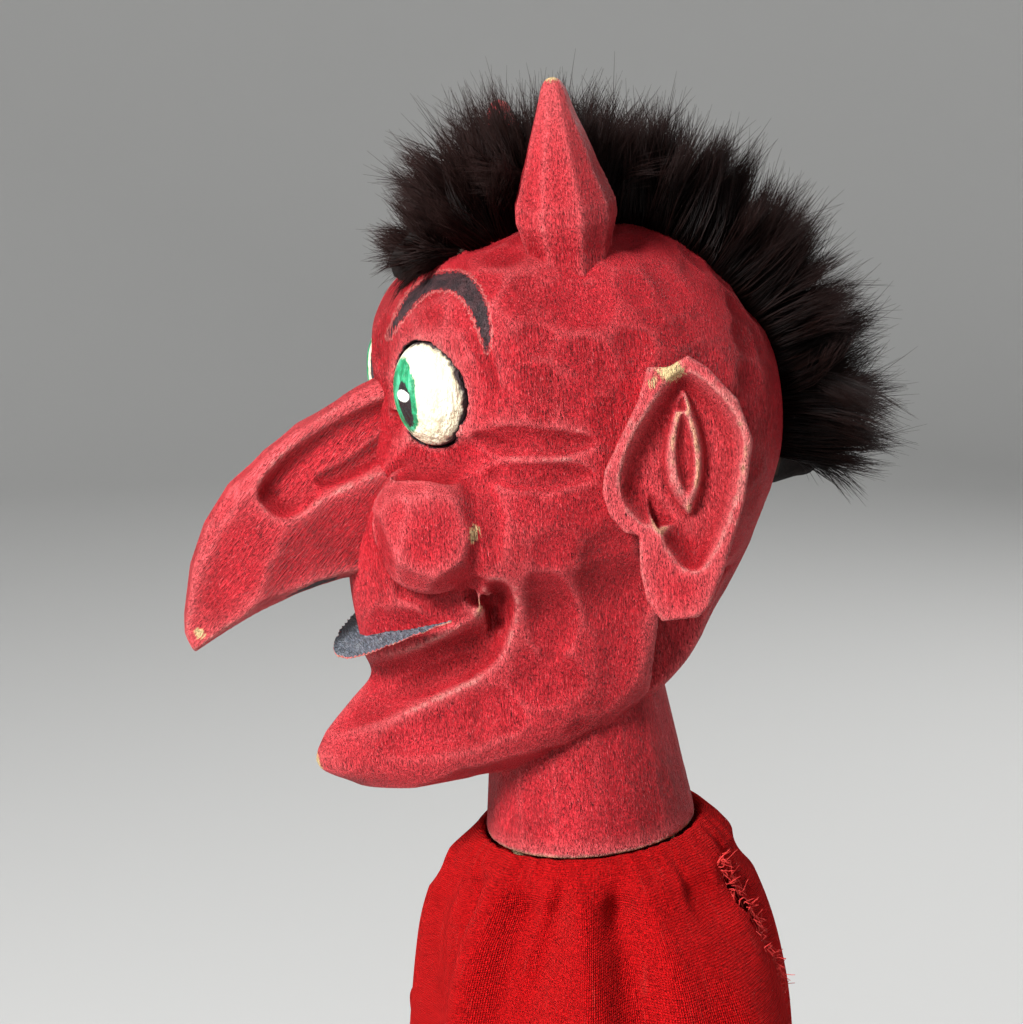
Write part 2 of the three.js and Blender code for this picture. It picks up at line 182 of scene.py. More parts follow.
class Clay:
    """A block of distances to a surface, in millimetres: negative inside the wood."""

    def __init__(self, low, high, step):
        self.step = step
        self.axes = [np.arange(a, b + step, step) for a, b in zip(low, high)]
        self.field = np.full([len(axis) for axis in self.axes], 30.0, np.float32)

    def window(self, low, high, margin):
        """The cells between two corners, with a margin round them."""
        spans = []
        for axis, a, b in zip(self.axes, low, high):
            spans.append(slice(max(0, int(np.searchsorted(axis, a - margin)) - 1),
                               int(np.searchsorted(axis, b + margin)) + 1))
        return tuple(spans)

    def sample_shape(self, shape, margin):
        """The cells near a shape, and its distances there."""
        distance, low, high = shape
        if low is None:
            spans = (slice(None),) * 3
        else:
            spans = self.window(low, high, margin)
        grid = np.ix_(*[axis[span] for axis, span in zip(self.axes, spans)])
        return spans, distance(*grid)

    def add(self, shape, blend=0.0, margin=6.0):
        """Joins a shape on, with a fillet as wide as the blend."""
        spans, other = self.sample_shape(shape, margin + blend)
        here = self.field[spans]
        if blend:
            share = np.clip(0.5 + 0.5 * (here - other) / blend, 0, 1)
            joined = here + (other - here) * share - blend * share * (1 - share)
        else:
            joined = np.minimum(here, other)
        self.field[spans] = joined

    def cut(self, shape, blend=0.0):
        """Takes a shape away, with edges as round as the blend."""
        spans, other = self.sample_shape(shape, 1.0 + blend)
        here = self.field[spans]
        if blend:
            share = np.clip(0.5 - 0.5 * (-other - here) / blend, 0, 1)
            carved = -other + (here + other) * share + blend * share * (1 - share)
        else:
            carved = np.maximum(here, -other)
        self.field[spans] = carved

    def keep_behind(self, point, normal):
        """Shaves off everything in front of a plane."""
        spans, other = self.sample_shape(half_space(point, normal), 0)
        self.field[spans] = np.maximum(self.field[spans], other)

    def value(self, points):
        """The field at points, by interpolation."""
        points = np.atleast_2d(points)
        cells, shares = [], []
        for k in range(3):
            place = (points[:, k] - self.axes[k][0]) / self.step
            cell = np.clip(np.floor(place).astype(int), 0, len(self.axes[k]) - 2)
            cells.append(cell)
            shares.append(np.clip(place - cell, 0, 1))
        total = np.zeros(len(points))
        for corner in np.ndindex(2, 2, 2):
            weight = np.ones(len(points))
            for k in range(3):
                weight = weight * (shares[k] if corner[k] else 1 - shares[k])
            total += weight * self.field[tuple(cells[k] + corner[k] for k in range(3))]
        return total

    def slope(self, points):
        """How the field climbs along X, Y and Z at points."""
        steps = np.eye(3) * self.step
        parts = [self.value(points + s) - self.value(points - s) for s in steps]
        return np.stack(parts, axis=1) / (2 * self.step)

    def settle(self, points, rounds=6):
        """Moves points onto the surface, and returns them with the outward directions there."""
        points = np.array(np.atleast_2d(points), float)
        for _ in range(rounds):
            slope = self.slope(points)
            steep = np.maximum((slope ** 2).sum(axis=1), 0.05)
            move = (self.value(points) / steep)[:, None] * slope
            points -= np.clip(move, -2.5, 2.5)
        slope = self.slope(points)
        return points, slope / np.maximum(np.linalg.norm(slope, axis=1), 1e-6)[:, None]

    def side_points(self, marks, plane):
        """Points on the +X surface behind (y, z) marks on the side drawing at x = plane."""
        found = []
        xs = np.linspace(self.axes[0][-1], 0, 120)
        share = (xs - SIDE_VIEW[0]) / (plane - SIDE_VIEW[0])
        for y, z in marks:
            line = np.stack([xs, SIDE_VIEW[1] + (y - SIDE_VIEW[1]) * share,
                             SIDE_VIEW[2] + (z - SIDE_VIEW[2]) * share], axis=1)
            inside = np.nonzero(self.value(line) < 0)[0]
            found.append(line[inside[0]] if len(inside) else line[-1])
        return self.settle(found, rounds=1)

    def gouge(self, marks, radius, depth, plane=26.0, blend=0.0):
        """A round gouge pushed along (y, z) marks on the +X side of the block."""
        radii = np.broadcast_to(radius, len(marks))
        depths = np.broadcast_to(depth, len(marks))
        points, outward = self.side_points(marks, plane)
        centres = points + outward * (radii - depths)[:, None]
        for k in range(len(marks) - 1):
            self.cut(rod(centres[k], centres[k + 1], radii[k], radii[k + 1]), blend)

    def grid(self):
        """The block's X, Y and Z places, ready to be combined."""
        return np.ix_(*self.axes)

    def press(self, outline, depth, wall, x_from=0.0, x_full=0.5, plane=26.0):
        """Sinks the +X side behind an outline on the side drawing, by walls of a given width."""
        outline = np.array(outline, float)
        low, high = outline.min(axis=0), outline.max(axis=0)
        spans = self.window((x_from, *low), (self.axes[0][-1], *high), 6.0)
        x, y, z = np.ix_(*[axis[span] for axis, span in zip(self.axes, spans)])
        share = np.clip(-outline_distance(outline, *drawn_at(x, y, z, plane)) / wall, 0, 1)
        fade = np.clip((x - x_from) / (x_full - x_from), 0, 1)
        self.field[spans] += (depth * (1 - (1 - share) ** 2) * fade).astype(np.float32)

    def scallops(self, count, radius, depth, seed, reach=None):
        """Shallow knife facets at random places, where the surface is full enough for one."""
        rng = np.random.default_rng(seed)
        verts, _ = self.mesh()
        if reach is not None:
            verts = verts[reach(verts)]
        picks = verts[rng.integers(0, len(verts), count)]
        picks, outward = self.settle(picks, rounds=2)
        turns = np.linspace(0, 2 * math.pi, 8, endpoint=False)
        for point, direction in zip(picks, outward):
            size = radius * rng.uniform(0.75, 1.35)
            bite = depth * rng.uniform(0.6, 1.3)
            ring = CAP_REACH * math.sqrt(2 * size * bite)
            across = np.cross(direction, (0.3, 0.2, 1))
            across /= max(np.linalg.norm(across), 1e-6)
            along = np.cross(direction, across)
            lift = (CAP_REACH ** 2 - 1) * bite
            probes = point + direction * lift + ring * (
                np.cos(turns)[:, None] * across + np.sin(turns)[:, None] * along)
            if self.value(probes).min() > -0.1 * bite:
                self.cut(ball_cap(point, direction, size, bite))

    def mirrored(self):
        """Copies the +X half over the -X half; the block is even about X = 0."""
        middle = len(self.axes[0]) // 2
        half = self.field[middle:]
        count = len(half) - 1
        self.field[middle - count:middle] = half[:0:-1]

    def blurred(self, sigma):
        """The field smoothed by a bell curve; on the surface it tells sharp edges from hollows."""
        reach = int(math.ceil(2.5 * sigma / self.step))
        offsets = np.arange(-reach, reach + 1) * self.step
        weights = np.exp(-offsets ** 2 / (2 * sigma ** 2))
        weights = (weights / weights.sum()).astype(np.float32)
        out = np.clip(self.field, -4, 4)
        for axis in range(3):
            padded = np.pad(out, [(reach, reach) if k == axis else (0, 0) for k in range(3)], mode="edge")
            total = np.zeros_like(out)
            for k, weight in enumerate(weights):
                span = [slice(None)] * 3
                span[axis] = slice(k, k + out.shape[axis])
                total += weight * padded[tuple(span)]
            out = total
        return out

    def mesh(self):
        """Vertices and four-sided faces of the zero surface."""
        field = self.field
        solid = field < 0
        shape = np.array(field.shape) - 1
        count = np.zeros(shape, np.int8)
        for a, b, c in np.ndindex(2, 2, 2):
            count += solid[a:a + shape[0], b:b + shape[1], c:c + shape[2]]
        active = (count > 0) & (count < 8)
        cells = np.stack(np.nonzero(active), axis=1)
        index = np.full(shape, -1, np.int64)
        index[active] = np.arange(len(cells))
        total = np.zeros((len(cells), 3))
        hits = np.zeros(len(cells))
        for axis in range(3):
            for b, c in np.ndindex(2, 2):
                offset = np.zeros(3, int)
                others = [k for k in range(3) if k != axis]
                offset[others[0]], offset[others[1]] = b, c
                start = cells + offset
                end = start.copy()
                end[:, axis] += 1
                f0 = field[tuple(start.T)]
                f1 = field[tuple(end.T)]
                crosses = (f0 < 0) != (f1 < 0)
                share = f0 / np.where(crosses, f0 - f1, 1)
                place = start.astype(float)
                place[:, axis] += share
                total[crosses] += place[crosses]
                hits[crosses] += 1
        verts = total / hits[:, None] * self.step + np.array([axis[0] for axis in self.axes])
        faces = []
        for axis in range(3):
            u, v = [(1, 2), (2, 0), (0, 1)][axis]
            low = [slice(None)] * 3
            high = [slice(None)] * 3
            low[axis], high[axis] = slice(None, -1), slice(1, None)
            change = solid[tuple(low)] != solid[tuple(high)]
            edge = np.stack(np.nonzero(change), axis=1)
            edge = edge[(edge[:, u] > 0) & (edge[:, v] > 0)]
            edge = edge[(edge[:, u] < shape[u]) & (edge[:, v] < shape[v])]
            corners = []
            for du, dv in ((-1, -1), (0, -1), (0, 0), (-1, 0)):
                cell = edge.copy()
                cell[:, u] += du
                cell[:, v] += dv
                corners.append(index[tuple(cell.T)])
            quads = np.stack(corners, axis=1)
            flip = ~solid[tuple(edge.T)]
            quads[flip] = quads[flip][:, ::-1]
            faces.append(quads)
        return verts, np.concatenate(faces)


def ball_cap(point, outward, radius, bite):
    """The ball that scoops a shallow cap out of a surface."""
    centre = np.array(point) + np.array(outward) * (radius - bite)
    half = CAP_REACH * math.sqrt(2 * radius * bite)

    def distance(x, y, z):
        return np.sqrt((x - centre[0]) ** 2 + (y - centre[1]) ** 2 + (z - centre[2]) ** 2) - radius

    return distance, np.array(point) - half, np.array(point) + half


# ---------------------------------------------------------------- turning arrays into pieces

def head_to_world(points):
    """Head millimetres, with the origin at the neck's rim, to metres in the row frame."""
    return np.asarray(points) @ HEAD_TURN.T * MM + NECK


def new_piece(name, verts, *blocks):
    """A smooth mesh from vertices in metres and blocks of three- or four-sided faces."""
    mesh = bpy.data.meshes.new(name)
    verts = np.asarray(verts, np.float32)
    mesh.vertices.add(len(verts))
    mesh.vertices.foreach_set("co", verts.ravel())
    sizes = np.concatenate([np.full(len(block), np.shape(block)[1]) for block in blocks])
    loops = np.concatenate([np.asarray(block).ravel() for block in blocks])
    mesh.loops.add(len(loops))
    mesh.loops.foreach_set("vertex_index", loops.astype(np.int32))
    mesh.polygons.add(len(sizes))
    starts = np.concatenate([[0], np.cumsum(sizes)[:-1]]).astype(np.int32)
    mesh.polygons.foreach_set("loop_start", starts)
    mesh.polygons.foreach_set("use_smooth", np.ones(len(sizes), bool))
    mesh.update(calc_edges=True)
    mesh.validate()
    piece = bpy.data.objects.new(name, mesh)
    bpy.context.scene.collection.objects.link(piece)
    return piece


def add_number(piece, name, values):
    layer = piece.data.attributes.new(name, "FLOAT", "POINT")
    layer.data.foreach_set("value", np.asarray(values, np.float32))


def add_place(piece, name, values):
    layer = piece.data.attributes.new(name, "FLOAT_VECTOR", "POINT")
    layer.data.foreach_set("vector", np.asarray(values, np.float32).ravel())


def finish_piece(piece, surface, body, slot, *replaced):
    piece.data.materials.append(surface)
    if body:
        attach(piece, body)
    if replaced:
        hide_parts(*replaced)
    return piece


def biggest_island(verts, faces):
    """Drops loose crumbs, so that a carved piece is one body."""
    parent = np.arange(len(verts))
    for _ in range(200):
        lowest = parent[faces].min(axis=1)
        before = parent.copy()
        for k in range(faces.shape[1]):
            np.minimum.at(parent, faces[:, k], lowest)
        parent = parent[parent]
        if np.array_equal(before, parent):
            break
    labels, counts = np.unique(parent, return_counts=True)
    keep = parent == labels[counts.argmax()]
    renumber = np.cumsum(keep) - 1
    return verts[keep], renumber[faces[keep[faces].all(axis=1)]]


def carved_piece(name, clay, to_world, mirror=False, grain=(0, 0, 1), raw=()):
    """A piece from clay. It keeps how sharp each edge is, how full or hollow each place, and the
    directions along and across the wood's grain. Raw spots are (point, radius)."""
    verts, faces = clay.mesh()
    verts, faces = biggest_island(verts, faces)
    sharp, broad = clay.blurred(0.75), clay.blurred(2.6)
    probe = Clay.__new__(Clay)
    probe.axes, probe.step = clay.axes, clay.step
    probe.field = sharp
    edge_sharpness = probe.value(verts)
    probe.field = broad
    hollow = probe.value(verts)
    bare = np.zeros(len(verts))
    for point, radius in raw:
        gap = np.linalg.norm(verts - np.array(point, float), axis=1)
        bare = np.maximum(bare, np.clip(1.5 - gap / radius, 0, 1))
    along = np.array(grain, float)
    along /= np.linalg.norm(along)
    across = np.cross(along, (0, 1, 0.01))
    across /= np.linalg.norm(across)
    axes = np.stack([across, np.cross(along, across), along])
    piece = new_piece(name, to_world(verts) * ([-1, 1, 1] if mirror else 1),
                      faces[:, ::-1] if mirror else faces)
    # how sharp each edge is drives the wear on edges and the painted ridge highlight and crease shade; how
    # full each place is drives painted shade in hollows and painted light on full places
    add_number(piece, "edge", edge_sharpness)
    add_number(piece, "crown", hollow)
    add_number(piece, "bare", bare)
    add_place(piece, "grain", verts @ axes.T + (100 if mirror else 0))
    return piece, verts


# ---------------------------------------------------------------- materials

class Surface:
    """A material built one node at a time; a value may be a number, a colour or another node's socket."""

    def __init__(self, name):
        self.material = bpy.data.materials.new(name)
        self.material.use_nodes = True
        self.tree = self.material.node_tree
        self.shader = self.tree.nodes["Principled BSDF"]

    def plug(self, value, socket):
        if isinstance(value, bpy.types.NodeSocket):
            self.tree.links.new(value, socket)
        else:
            socket.default_value = value

    def set(self, **values):
        for name, value in values.items():
            self.plug(value, self.shader.inputs[name.replace("_", " ")])

    def node(self, kind, inputs, **settings):
        node = self.tree.nodes.new("ShaderNode" + kind)
        for name, value in settings.items():
            setattr(node, name, value)
        for name, value in inputs.items():
            self.plug(value, node.inputs[name])
        return node

    def number(self, name):
        return self.node("Attribute", {}, attribute_name=name).outputs["Fac"]

    def place(self, name, scale=(1, 1, 1)):
        vector = self.node("Attribute", {}, attribute_name=name).outputs["Vector"]
        return self.node("VectorMath", {0: vector, 1: scale}, operation="MULTIPLY").outputs[0]

    def noise(self, place, scale, detail=3.0, roughness=0.55, distortion=0.0):
        inputs = {"Vector": place, "Scale": scale, "Detail": detail, "Roughness": roughness,
                  "Distortion": distortion}
        return self.node("TexNoise", inputs).outputs["Fac"]

    def ramp(self, value, low, high, start=0.0, end=1.0):
        inputs = {"Value": value, "From Min": low, "From Max": high, "To Min": start, "To Max": end}
        return self.node("MapRange", inputs, clamp=True).outputs[0]

    def math(self, operation, a, b=0.0):
        return self.node("Math", {0: a, 1: b}, operation=operation).outputs[0]

    def mix(self, share, a, b):
        node = self.tree.nodes.new("ShaderNodeMix")
        node.data_type = "RGBA"
        self.plug(share, node.inputs[0])
        self.plug(a, node.inputs[6])
        self.plug(b, node.inputs[7])
        return node.outputs[2]

    def over(self, under, colour, value, low, high, amount=1.0):
        """Paints a colour over another where a value rises from low to high, up to an amount."""
        return self.mix(self.ramp(value, low, high, 0.0, amount), under, colour)

    def bump(self, height, distance, strength=1.0, under=None):
        inputs = {"Height": height, "Distance": distance, "Strength": strength}
        if under is not None:
            inputs["Normal"] = under
        return self.node("Bump", inputs).outputs[0]


STAIN = (0.72, 0.022, 0.036, 1)
# the deep colour serves as stain and as painted shade; the pale one as stain and as painted light
DEEP_STAIN_AND_SHADE = (0.36, 0.003, 0.008, 1)
PALE_STAIN_AND_LIGHT = (0.92, 0.15, 0.16, 1)
STAIN_WORN = (0.84, 0.33, 0.29, 1)
RAW_WOOD = (0.84, 0.62, 0.30, 1)
BROW_PAINT = (0.045, 0.028, 0.032, 1)
LIP_GREY = (0.22, 0.25, 0.30, 1)
EYE_CREAM = (0.82, 0.76, 0.55, 1)
EYE_GREEN = (0.018, 0.33, 0.14, 1)
EYE_DARK = (0.016, 0.013, 0.014, 1)


def stained_wood(name, paint=None):
    """Dry limewood under thin red stain: fibres, pale dashes, wear on the edges; painted shade in the hollows
    and painted light on full places and ridges.
    """
    s = Surface(name)
    broad = s.noise(s.place("grain", (1, 1, 0.45)), 0.075, 2)
    fibres = s.noise(s.place("grain", (1, 1, 0.14)), 2.6, 4, 0.62)
    dashes = s.noise(s.place("grain", (1, 1, 0.20)), 4.6, 2, 0.5)
    colour = s.over(DEEP_STAIN_AND_SHADE, STAIN, broad, 0.33, 0.62)
    colour = s.over(colour, STAIN, fibres, 0.40, 0.62, 0.5)
    colour = s.over(colour, DEEP_STAIN_AND_SHADE, fibres, 0.53, 0.36, 0.4)
    colour = s.over(colour, PALE_STAIN_AND_LIGHT, dashes, 0.60, 0.72, 0.62)
    # painted shade darkens the broad hollows, and painted light brightens the full, rounded places
    hollow = s.ramp(s.number("crown"), -0.1, -0.85, 0.0, 0.8)
    colour = s.mix(hollow, colour, DEEP_STAIN_AND_SHADE)
    full = s.ramp(s.number("crown"), 0.15, 0.95, 0.0, 0.42)
    colour = s.mix(full, colour, PALE_STAIN_AND_LIGHT)
    patch = s.noise(s.place("grain"), 0.55, 3)
    # painted highlight on the knife ridges and painted shade in the hollows between them
    colour = s.over(colour, DEEP_STAIN_AND_SHADE, s.number("edge"), -0.02, -0.16, 0.45)
    colour = s.over(colour, PALE_STAIN_AND_LIGHT, s.number("edge"), 0.03, 0.16, 0.26)
    edge_sharpness = s.math("ADD", s.number("edge"), s.ramp(patch, 0.3, 0.7, -0.16, 0.10))
    colour = s.over(colour, STAIN_WORN, edge_sharpness, 0.20, 0.40, 0.5)
    colour = s.over(colour, RAW_WOOD, edge_sharpness, 0.46, 0.60, 0.4)
    bare = s.math("ADD", s.number("bare"), s.ramp(fibres, 0.3, 0.7, -0.45, 0.3))
    colour = s.over(colour, RAW_WOOD, bare, 0.45, 0.75)
    if paint:
        colour = paint(s, colour, patch, fibres)
    grooves = s.noise(s.place("grain", (1, 1, 0.07)), 3.0, 3, 0.6)
    normal = s.bump(grooves, 0.10, 0.6)
    normal = s.bump(s.math("ADD", dashes, fibres), 0.06, 0.5, normal)
    s.set(Base_Color=colour, Roughness=s.ramp(fibres, 0.3, 0.7, 0.46, 0.66), Normal=normal,
          Specular_IOR_Level=0.26)
    return s.material


def face_paint(s, colour, patch, fibres):
    """The eyebrow and the dark line round the eye, brushed on by hand."""
    brow = s.math("ADD", s.number("brow"), s.ramp(fibres, 0.3, 0.7, -0.45, 0.45))
    shade = s.over(BROW_PAINT, (0.10, 0.045, 0.05, 1), patch, 0.4, 0.65)
    scratch = s.ramp(s.math("ABSOLUTE", s.math("ADD", brow, -0.35)), 0.22, 0.05, 0.0, 0.5)
    colour = s.over(colour, shade, brow, 0.12, -0.12)
    colour = s.mix(scratch, colour, STAIN_WORN)
    line = s.math("ADD", s.number("eye_gap"), s.ramp(patch, 0.3, 0.7, -0.35, 0.35))
    return s.over(colour, BROW_PAINT, line, 0.75, 0.45)


def nostril_paint(s, colour, patch, fibres):
    spot = s.math("ADD", s.number("nostril"), s.ramp(patch, 0.3, 0.7, -0.5, 0.5))
    return s.over(colour, EYE_DARK, spot, 0.3, -0.2)


def lip_paint(s, colour, patch, fibres):
    """Grey-blue paint on the lip's upper face, with a bare edge below it."""
    top = s.math("ADD", s.number("upper"), s.ramp(patch, 0.3, 0.7, -0.1, 0.1))
    grey = s.over((0.10, 0.115, 0.14, 1), LIP_GREY, fibres, 0.38, 0.62)
    grey = s.over(grey, (0.40, 0.42, 0.44, 1), patch, 0.5, 0.75, 0.5)
    return s.over(colour, grey, top, 0.42, 0.5)


def eye_paint():
    """Cream, green and black paint on a carved dome, with brush strokes and a painted highlight on the pupil.
    """
    s = Surface("eye_paint")
    across, up = s.number("across"), s.number("up")
    strokes = s.noise(s.place("grain", (1, 1, 0.5)), 0.9, 3)
    wobble = s.ramp(strokes, 0.3, 0.7, -0.5, 0.5)
    stain = s.noise(s.place("grain", (1, 1, 0.3)), 0.5, 4)
    cream = s.over(EYE_CREAM, (0.74, 0.62, 0.42, 1), stain, 0.42, 0.66)
    cream = s.over(cream, (0.88, 0.84, 0.70, 1), strokes, 0.55, 0.7, 0.6)

    def oval(centre, wide, tall, rough=1.0):
        du = s.math("DIVIDE", s.math("ADD", across, -centre[0]), wide)
        dv = s.math("DIVIDE", s.math("ADD", up, -centre[1]), tall)
        gap = s.math("SQRT", s.math("ADD", s.math("MULTIPLY", du, du), s.math("MULTIPLY", dv, dv)))
        return s.math("ADD", gap, s.math("MULTIPLY", wobble, 0.16 * rough))

    green = s.over((0.010, 0.20, 0.08, 1), EYE_GREEN, strokes, 0.42, 0.6)
    green = s.over(green, (0.10, 0.52, 0.30, 1), stain, 0.52, 0.62, 0.7)
    colour = s.over(cream, green, oval((-3.3, 0.1), 3.7, 6.9), 1.04, 0.96)
    colour = s.over(colour, EYE_DARK, oval((-2.7, -1.2), 1.7, 4.6, 2.0), 1.06, 0.94)
    # a white glint on the pupil: a painted highlight
    colour = s.over(colour, (0.86, 0.86, 0.80, 1), oval((-3.0, 0.4), 1.7, 1.1, 1.5), 1.06, 0.94)
    rim = s.math("ADD", s.number("rim"), s.math("MULTIPLY", wobble, 0.5))
    colour = s.over(colour, BROW_PAINT, rim, 0.75, 0.45)
    normal = s.bump(s.math("ADD", strokes, stain), 0.03, 0.3)
    s.set(Base_Color=colour, Roughness=s.ramp(strokes, 0.3, 0.7, 0.38, 0.58), Normal=normal,
          Specular_IOR_Level=0.45)
    return s.material


def red_cotton():
    """Washed plain-weave cotton: threads 0.5 mm apart, slubs, pilling and cloudy fading."""
    s = Surface("red_cotton")
    weave = s.node("Attribute", {}, attribute_name="weave").outputs["Vector"]
    slub = s.noise(s.node("VectorMath", {0: weave, 1: (1, 0.12, 1)}, operation="MULTIPLY").outputs[0],
                   0.8, 2)
    slub_across = s.noise(
        s.node("VectorMath", {0: weave, 1: (0.12, 1, 1)}, operation="MULTIPLY").outputs[0], 0.8, 2)
    parts = s.node("SeparateXYZ", {0: weave})
    waves = []
    for socket, wander in (("X", slub), ("Y", slub_across)):
        place = s.math("ADD", s.math("MULTIPLY", parts.outputs[socket], math.pi / THREAD_PITCH),
                       s.math("MULTIPLY", wander, 2.6))
        waves.append(s.math("SINE", place))
    cells = s.math("MULTIPLY", waves[0], waves[1])
    thread = s.math("POWER", s.math("ABSOLUTE", cells), 0.6)
    fuzz = s.noise(weave, 1.3, 5, 0.7)
    cloud = s.noise(weave, 0.06, 3, 0.6)
    colour = s.over((0.86, 0.003, 0.006, 1), (0.97, 0.006, 0.010, 1), cloud, 0.35, 0.65)
    colour = s.over(colour, (0.36, 0.003, 0.003, 1), thread, 0.5, 0.05, 0.75)
    colour = s.over(colour, (0.80, 0.03, 0.03, 1), cells, 0.2, -0.2, 0.25)
    colour = s.over(colour, (0.85, 0.06, 0.05, 1), slub, 0.60, 0.75, 0.45)
    colour = s.over(colour, (0.90, 0.12, 0.09, 1), fuzz, 0.62, 0.78, 0.5)
    normal = s.bump(thread, 0.16, 0.85)
    normal = s.bump(fuzz, 0.25, 0.35, normal)
    s.set(Base_Color=colour, Roughness=0.92, Normal=normal, Specular_IOR_Level=0.05,
          Sheen_Weight=0.12, Sheen_Roughness=0.5, Sheen_Tint=(1, 0.12, 0.1, 1))
    return s.material


def fur_hair():
    s = Surface("fur")
    tip = s.number("tip")
    tone = s.mix(s.number("tone"), (0.003, 0.0012, 0.001, 1), (0.012, 0.004, 0.003, 1))
    colour = s.over(tone, (0.030, 0.012, 0.010, 1), tip, 0.6, 1.0, 0.5)
    s.set(Base_Color=colour, Roughness=0.5, Specular_IOR_Level=0.12)
    return s.material


def plain_fibre(name, light, dark, scale, distance, roughness=0.85):
    """Board, hide, twine and thread: mottled fibre without a direction."""
    s = Surface(name)
    place = s.node("VectorMath", {0: s.node("TexCoord", {}).outputs["Object"], "Scale": 1000.0},
                   operation="SCALE").outputs[0]
    coarse, fine = s.noise(place, scale, 4), s.noise(place, scale * 5, 3)
    colour = s.over(dark, light, coarse, 0.35, 0.65)
    colour = s.over(colour, tuple(min(1, 1.5 * c) for c in light), fine, 0.55, 0.75, 0.4)
    normal = s.bump(s.math("ADD", coarse, fine), distance, 0.8)
    s.set(Base_Color=colour, Roughness=roughness, Normal=normal, Specular_IOR_Level=0.25)
    return s.material


# ---------------------------------------------------------------- head

HEAD_SECTIONS = [
    # z, front, back, half width, narrowing towards the front
    (12, -44, -20, 12, 0.4),
    (16.6, -46, -8, 16, 0.42),
    (21, -52.6, 4, 21, 0.5),
    (27, -51.2, 14, 26, 0.55),
    (33.5, -45.0, 22, 27.8, 0.5),
    (37.5, -40.8, 25, 28.2, 0.44),
    (42.5, -41.5, 28.5, 28.8, 0.4),
    (47, -41.9, 31.5, 29.4, 0.36),
    (54, -42.4, 36, 30.4, 0.3),
    (62, -42, 40, 31.4, 0.25),
    (72, -39, 43.2, 32.6, 0.2),
    (82, -35, 43.7, 33.4, 0.14),
    (91, -33.0, 42.4, 33.2, 0.1),
    (99, -32.8, 38.4, 32.4, 0.06),
    (106, -31.0, 32.6, 30.0, 0.02),
    (112, -26.0, 26, 26.8, 0),
    (116.5, -18, 18.6, 21.0, 0),
    (119.3, -9, 11, 13.5, 0),
    (121.3, -2, 5, 4, 0),
]
SECTION_POWER = 2.15
JAW_BACK = 10.2
NAPE_HALF = 15.5

EYE_AT = (16.2, -25.6, 93.1)
EYE_TURN = 40
EYE_RADII = (8.0, 5.2, 9.7)

# the carver's cuts on the left side, as (y, z) outlines with how deep they go and how wide their walls are
SIDE_CUTS = [
    # two tapering gouge cuts behind the eye
    ([(-21.5, 86.0), (-19.4, 87.8), (-9.3, 86.4), (2.5, 82.2), (-5.1, 79.6), (-16.9, 81.9)], 1.5, 2.6),
    ([(-19.9, 79.9), (-17.6, 76.3), (-8.7, 73.8), (0.4, 75.0), (-2.3, 78.6), (-13.5, 80.6)], 1.2, 2.3),
    # two flat shavings behind the curl of the smile
    ([(-14.4, 59.0), (-8, 58.9), (-4.8, 51.8), (-6.2, 44.8), (-11, 41.6), (-14.6, 47)], 1.2, 4.0),
    ([(-14.5, 44.5), (-7.5, 43.0), (-4.5, 36.8), (-10, 33.5), (-17, 35.0), (-19.5, 39.8)], 1.0, 3.8),
    ([(-21.5, 39.6), (-17.6, 36.0), (-17.0, 30.5), (-24, 29.0), (-31, 31.0), (-30.5, 36.4)], 0.8, 2.4),
    # the hollow over the front of the ear, and one behind the temple
    ([(9.0, 90.0), (5.6, 97.0), (7.6, 101.6), (13, 100.2), (14, 95.5)], 1.0, 4.0),
    ([(-14, 112), (2, 115), (9, 109), (4, 102), (-9, 103)], 0.8, 4.5),
]
SMILE_SCOOP = [(-21.2, 59.4), (-17.4, 58.4), (-16.2, 54.0), (-17.9, 48.6), (-20.5, 44.2), (-25.1, 41.4),
               (-32.5, 39.0), (-40.3, 37.1), (-46, 36.0), (-60, 36.0), (-60, 48.2), (-47.7, 48.5),
               (-42.3, 48.8), (-37.2, 49.0), (-32.9, 50.0), (-29.3, 51.1), (-26.7, 52.2), (-24.0, 53.4),
               (-22.4, 56.0)]
BROW = [(-34.2, 105.6), (-32.6, 108.8), (-29.2, 113.2), (-23.8, 115.7), (-18.9, 114.6), (-16.4, 109.9),
        (-15.9, 104.5), (-16.9, 100.8), (-17.5, 103.0), (-18.6, 107.3), (-20.7, 111.4), (-24.0, 112.9),
        (-27.7, 111.8), (-31.6, 108.2)]


def head_loft(x, y, z):
    stations = [row[0] for row in HEAD_SECTIONS]
    front, back, half, narrowing = [
        smooth_curve(z, stations, [row[k] for row in HEAD_SECTIONS]) for k in range(1, 5)]
    middle, depth = (front + back) / 2, np.maximum((back - front) / 2, 1)
    along = (y - middle) / depth
    width = np.maximum(half, 1) * (1 - narrowing * (1 - np.clip(along, -1, 1)) / 2)
    reach = (np.abs(x / width) ** SECTION_POWER + np.abs(along) ** SECTION_POWER) ** (1 / SECTION_POWER)
    return (reach - 1) * np.minimum(width, depth)


def rough_out_head(clay):
    """The skull, face and jaw before the features are cut."""
    x, y, z = clay.grid()
    loft = head_loft(x, y, z)
    steep = np.sqrt(sum(part ** 2 for part in np.gradient(loft, clay.step)))
    clay.field[:] = loft / np.maximum(steep, 0.3)
    clay.add(ellipsoid((0, 6.5, 82), (33.2, 37.2, 38.2)), blend=4)
    # the jaw's underside rises to both sides and towards the neck
    clay.keep_behind((24, -20, 26.6), (0.55, 0.02, -0.83))
    clay.keep_behind((0, -45, 16.8), (0, -0.02, -1))
    # behind the jaw the block is cut back to the width of the neck
    recess = np.maximum(np.maximum(NAPE_HALF - x, JAW_BACK - y + 0.10 * (z - 40)), z - 52)
    clay.field[:] = np.maximum(clay.field, -recess)


def eye_ball(side, grow=0.0):
    x, y, z = EYE_AT
    radii = [r + grow for r in EYE_RADII]
    return ellipsoid((side * x, y, z), radii, (0, 0, side * EYE_TURN))


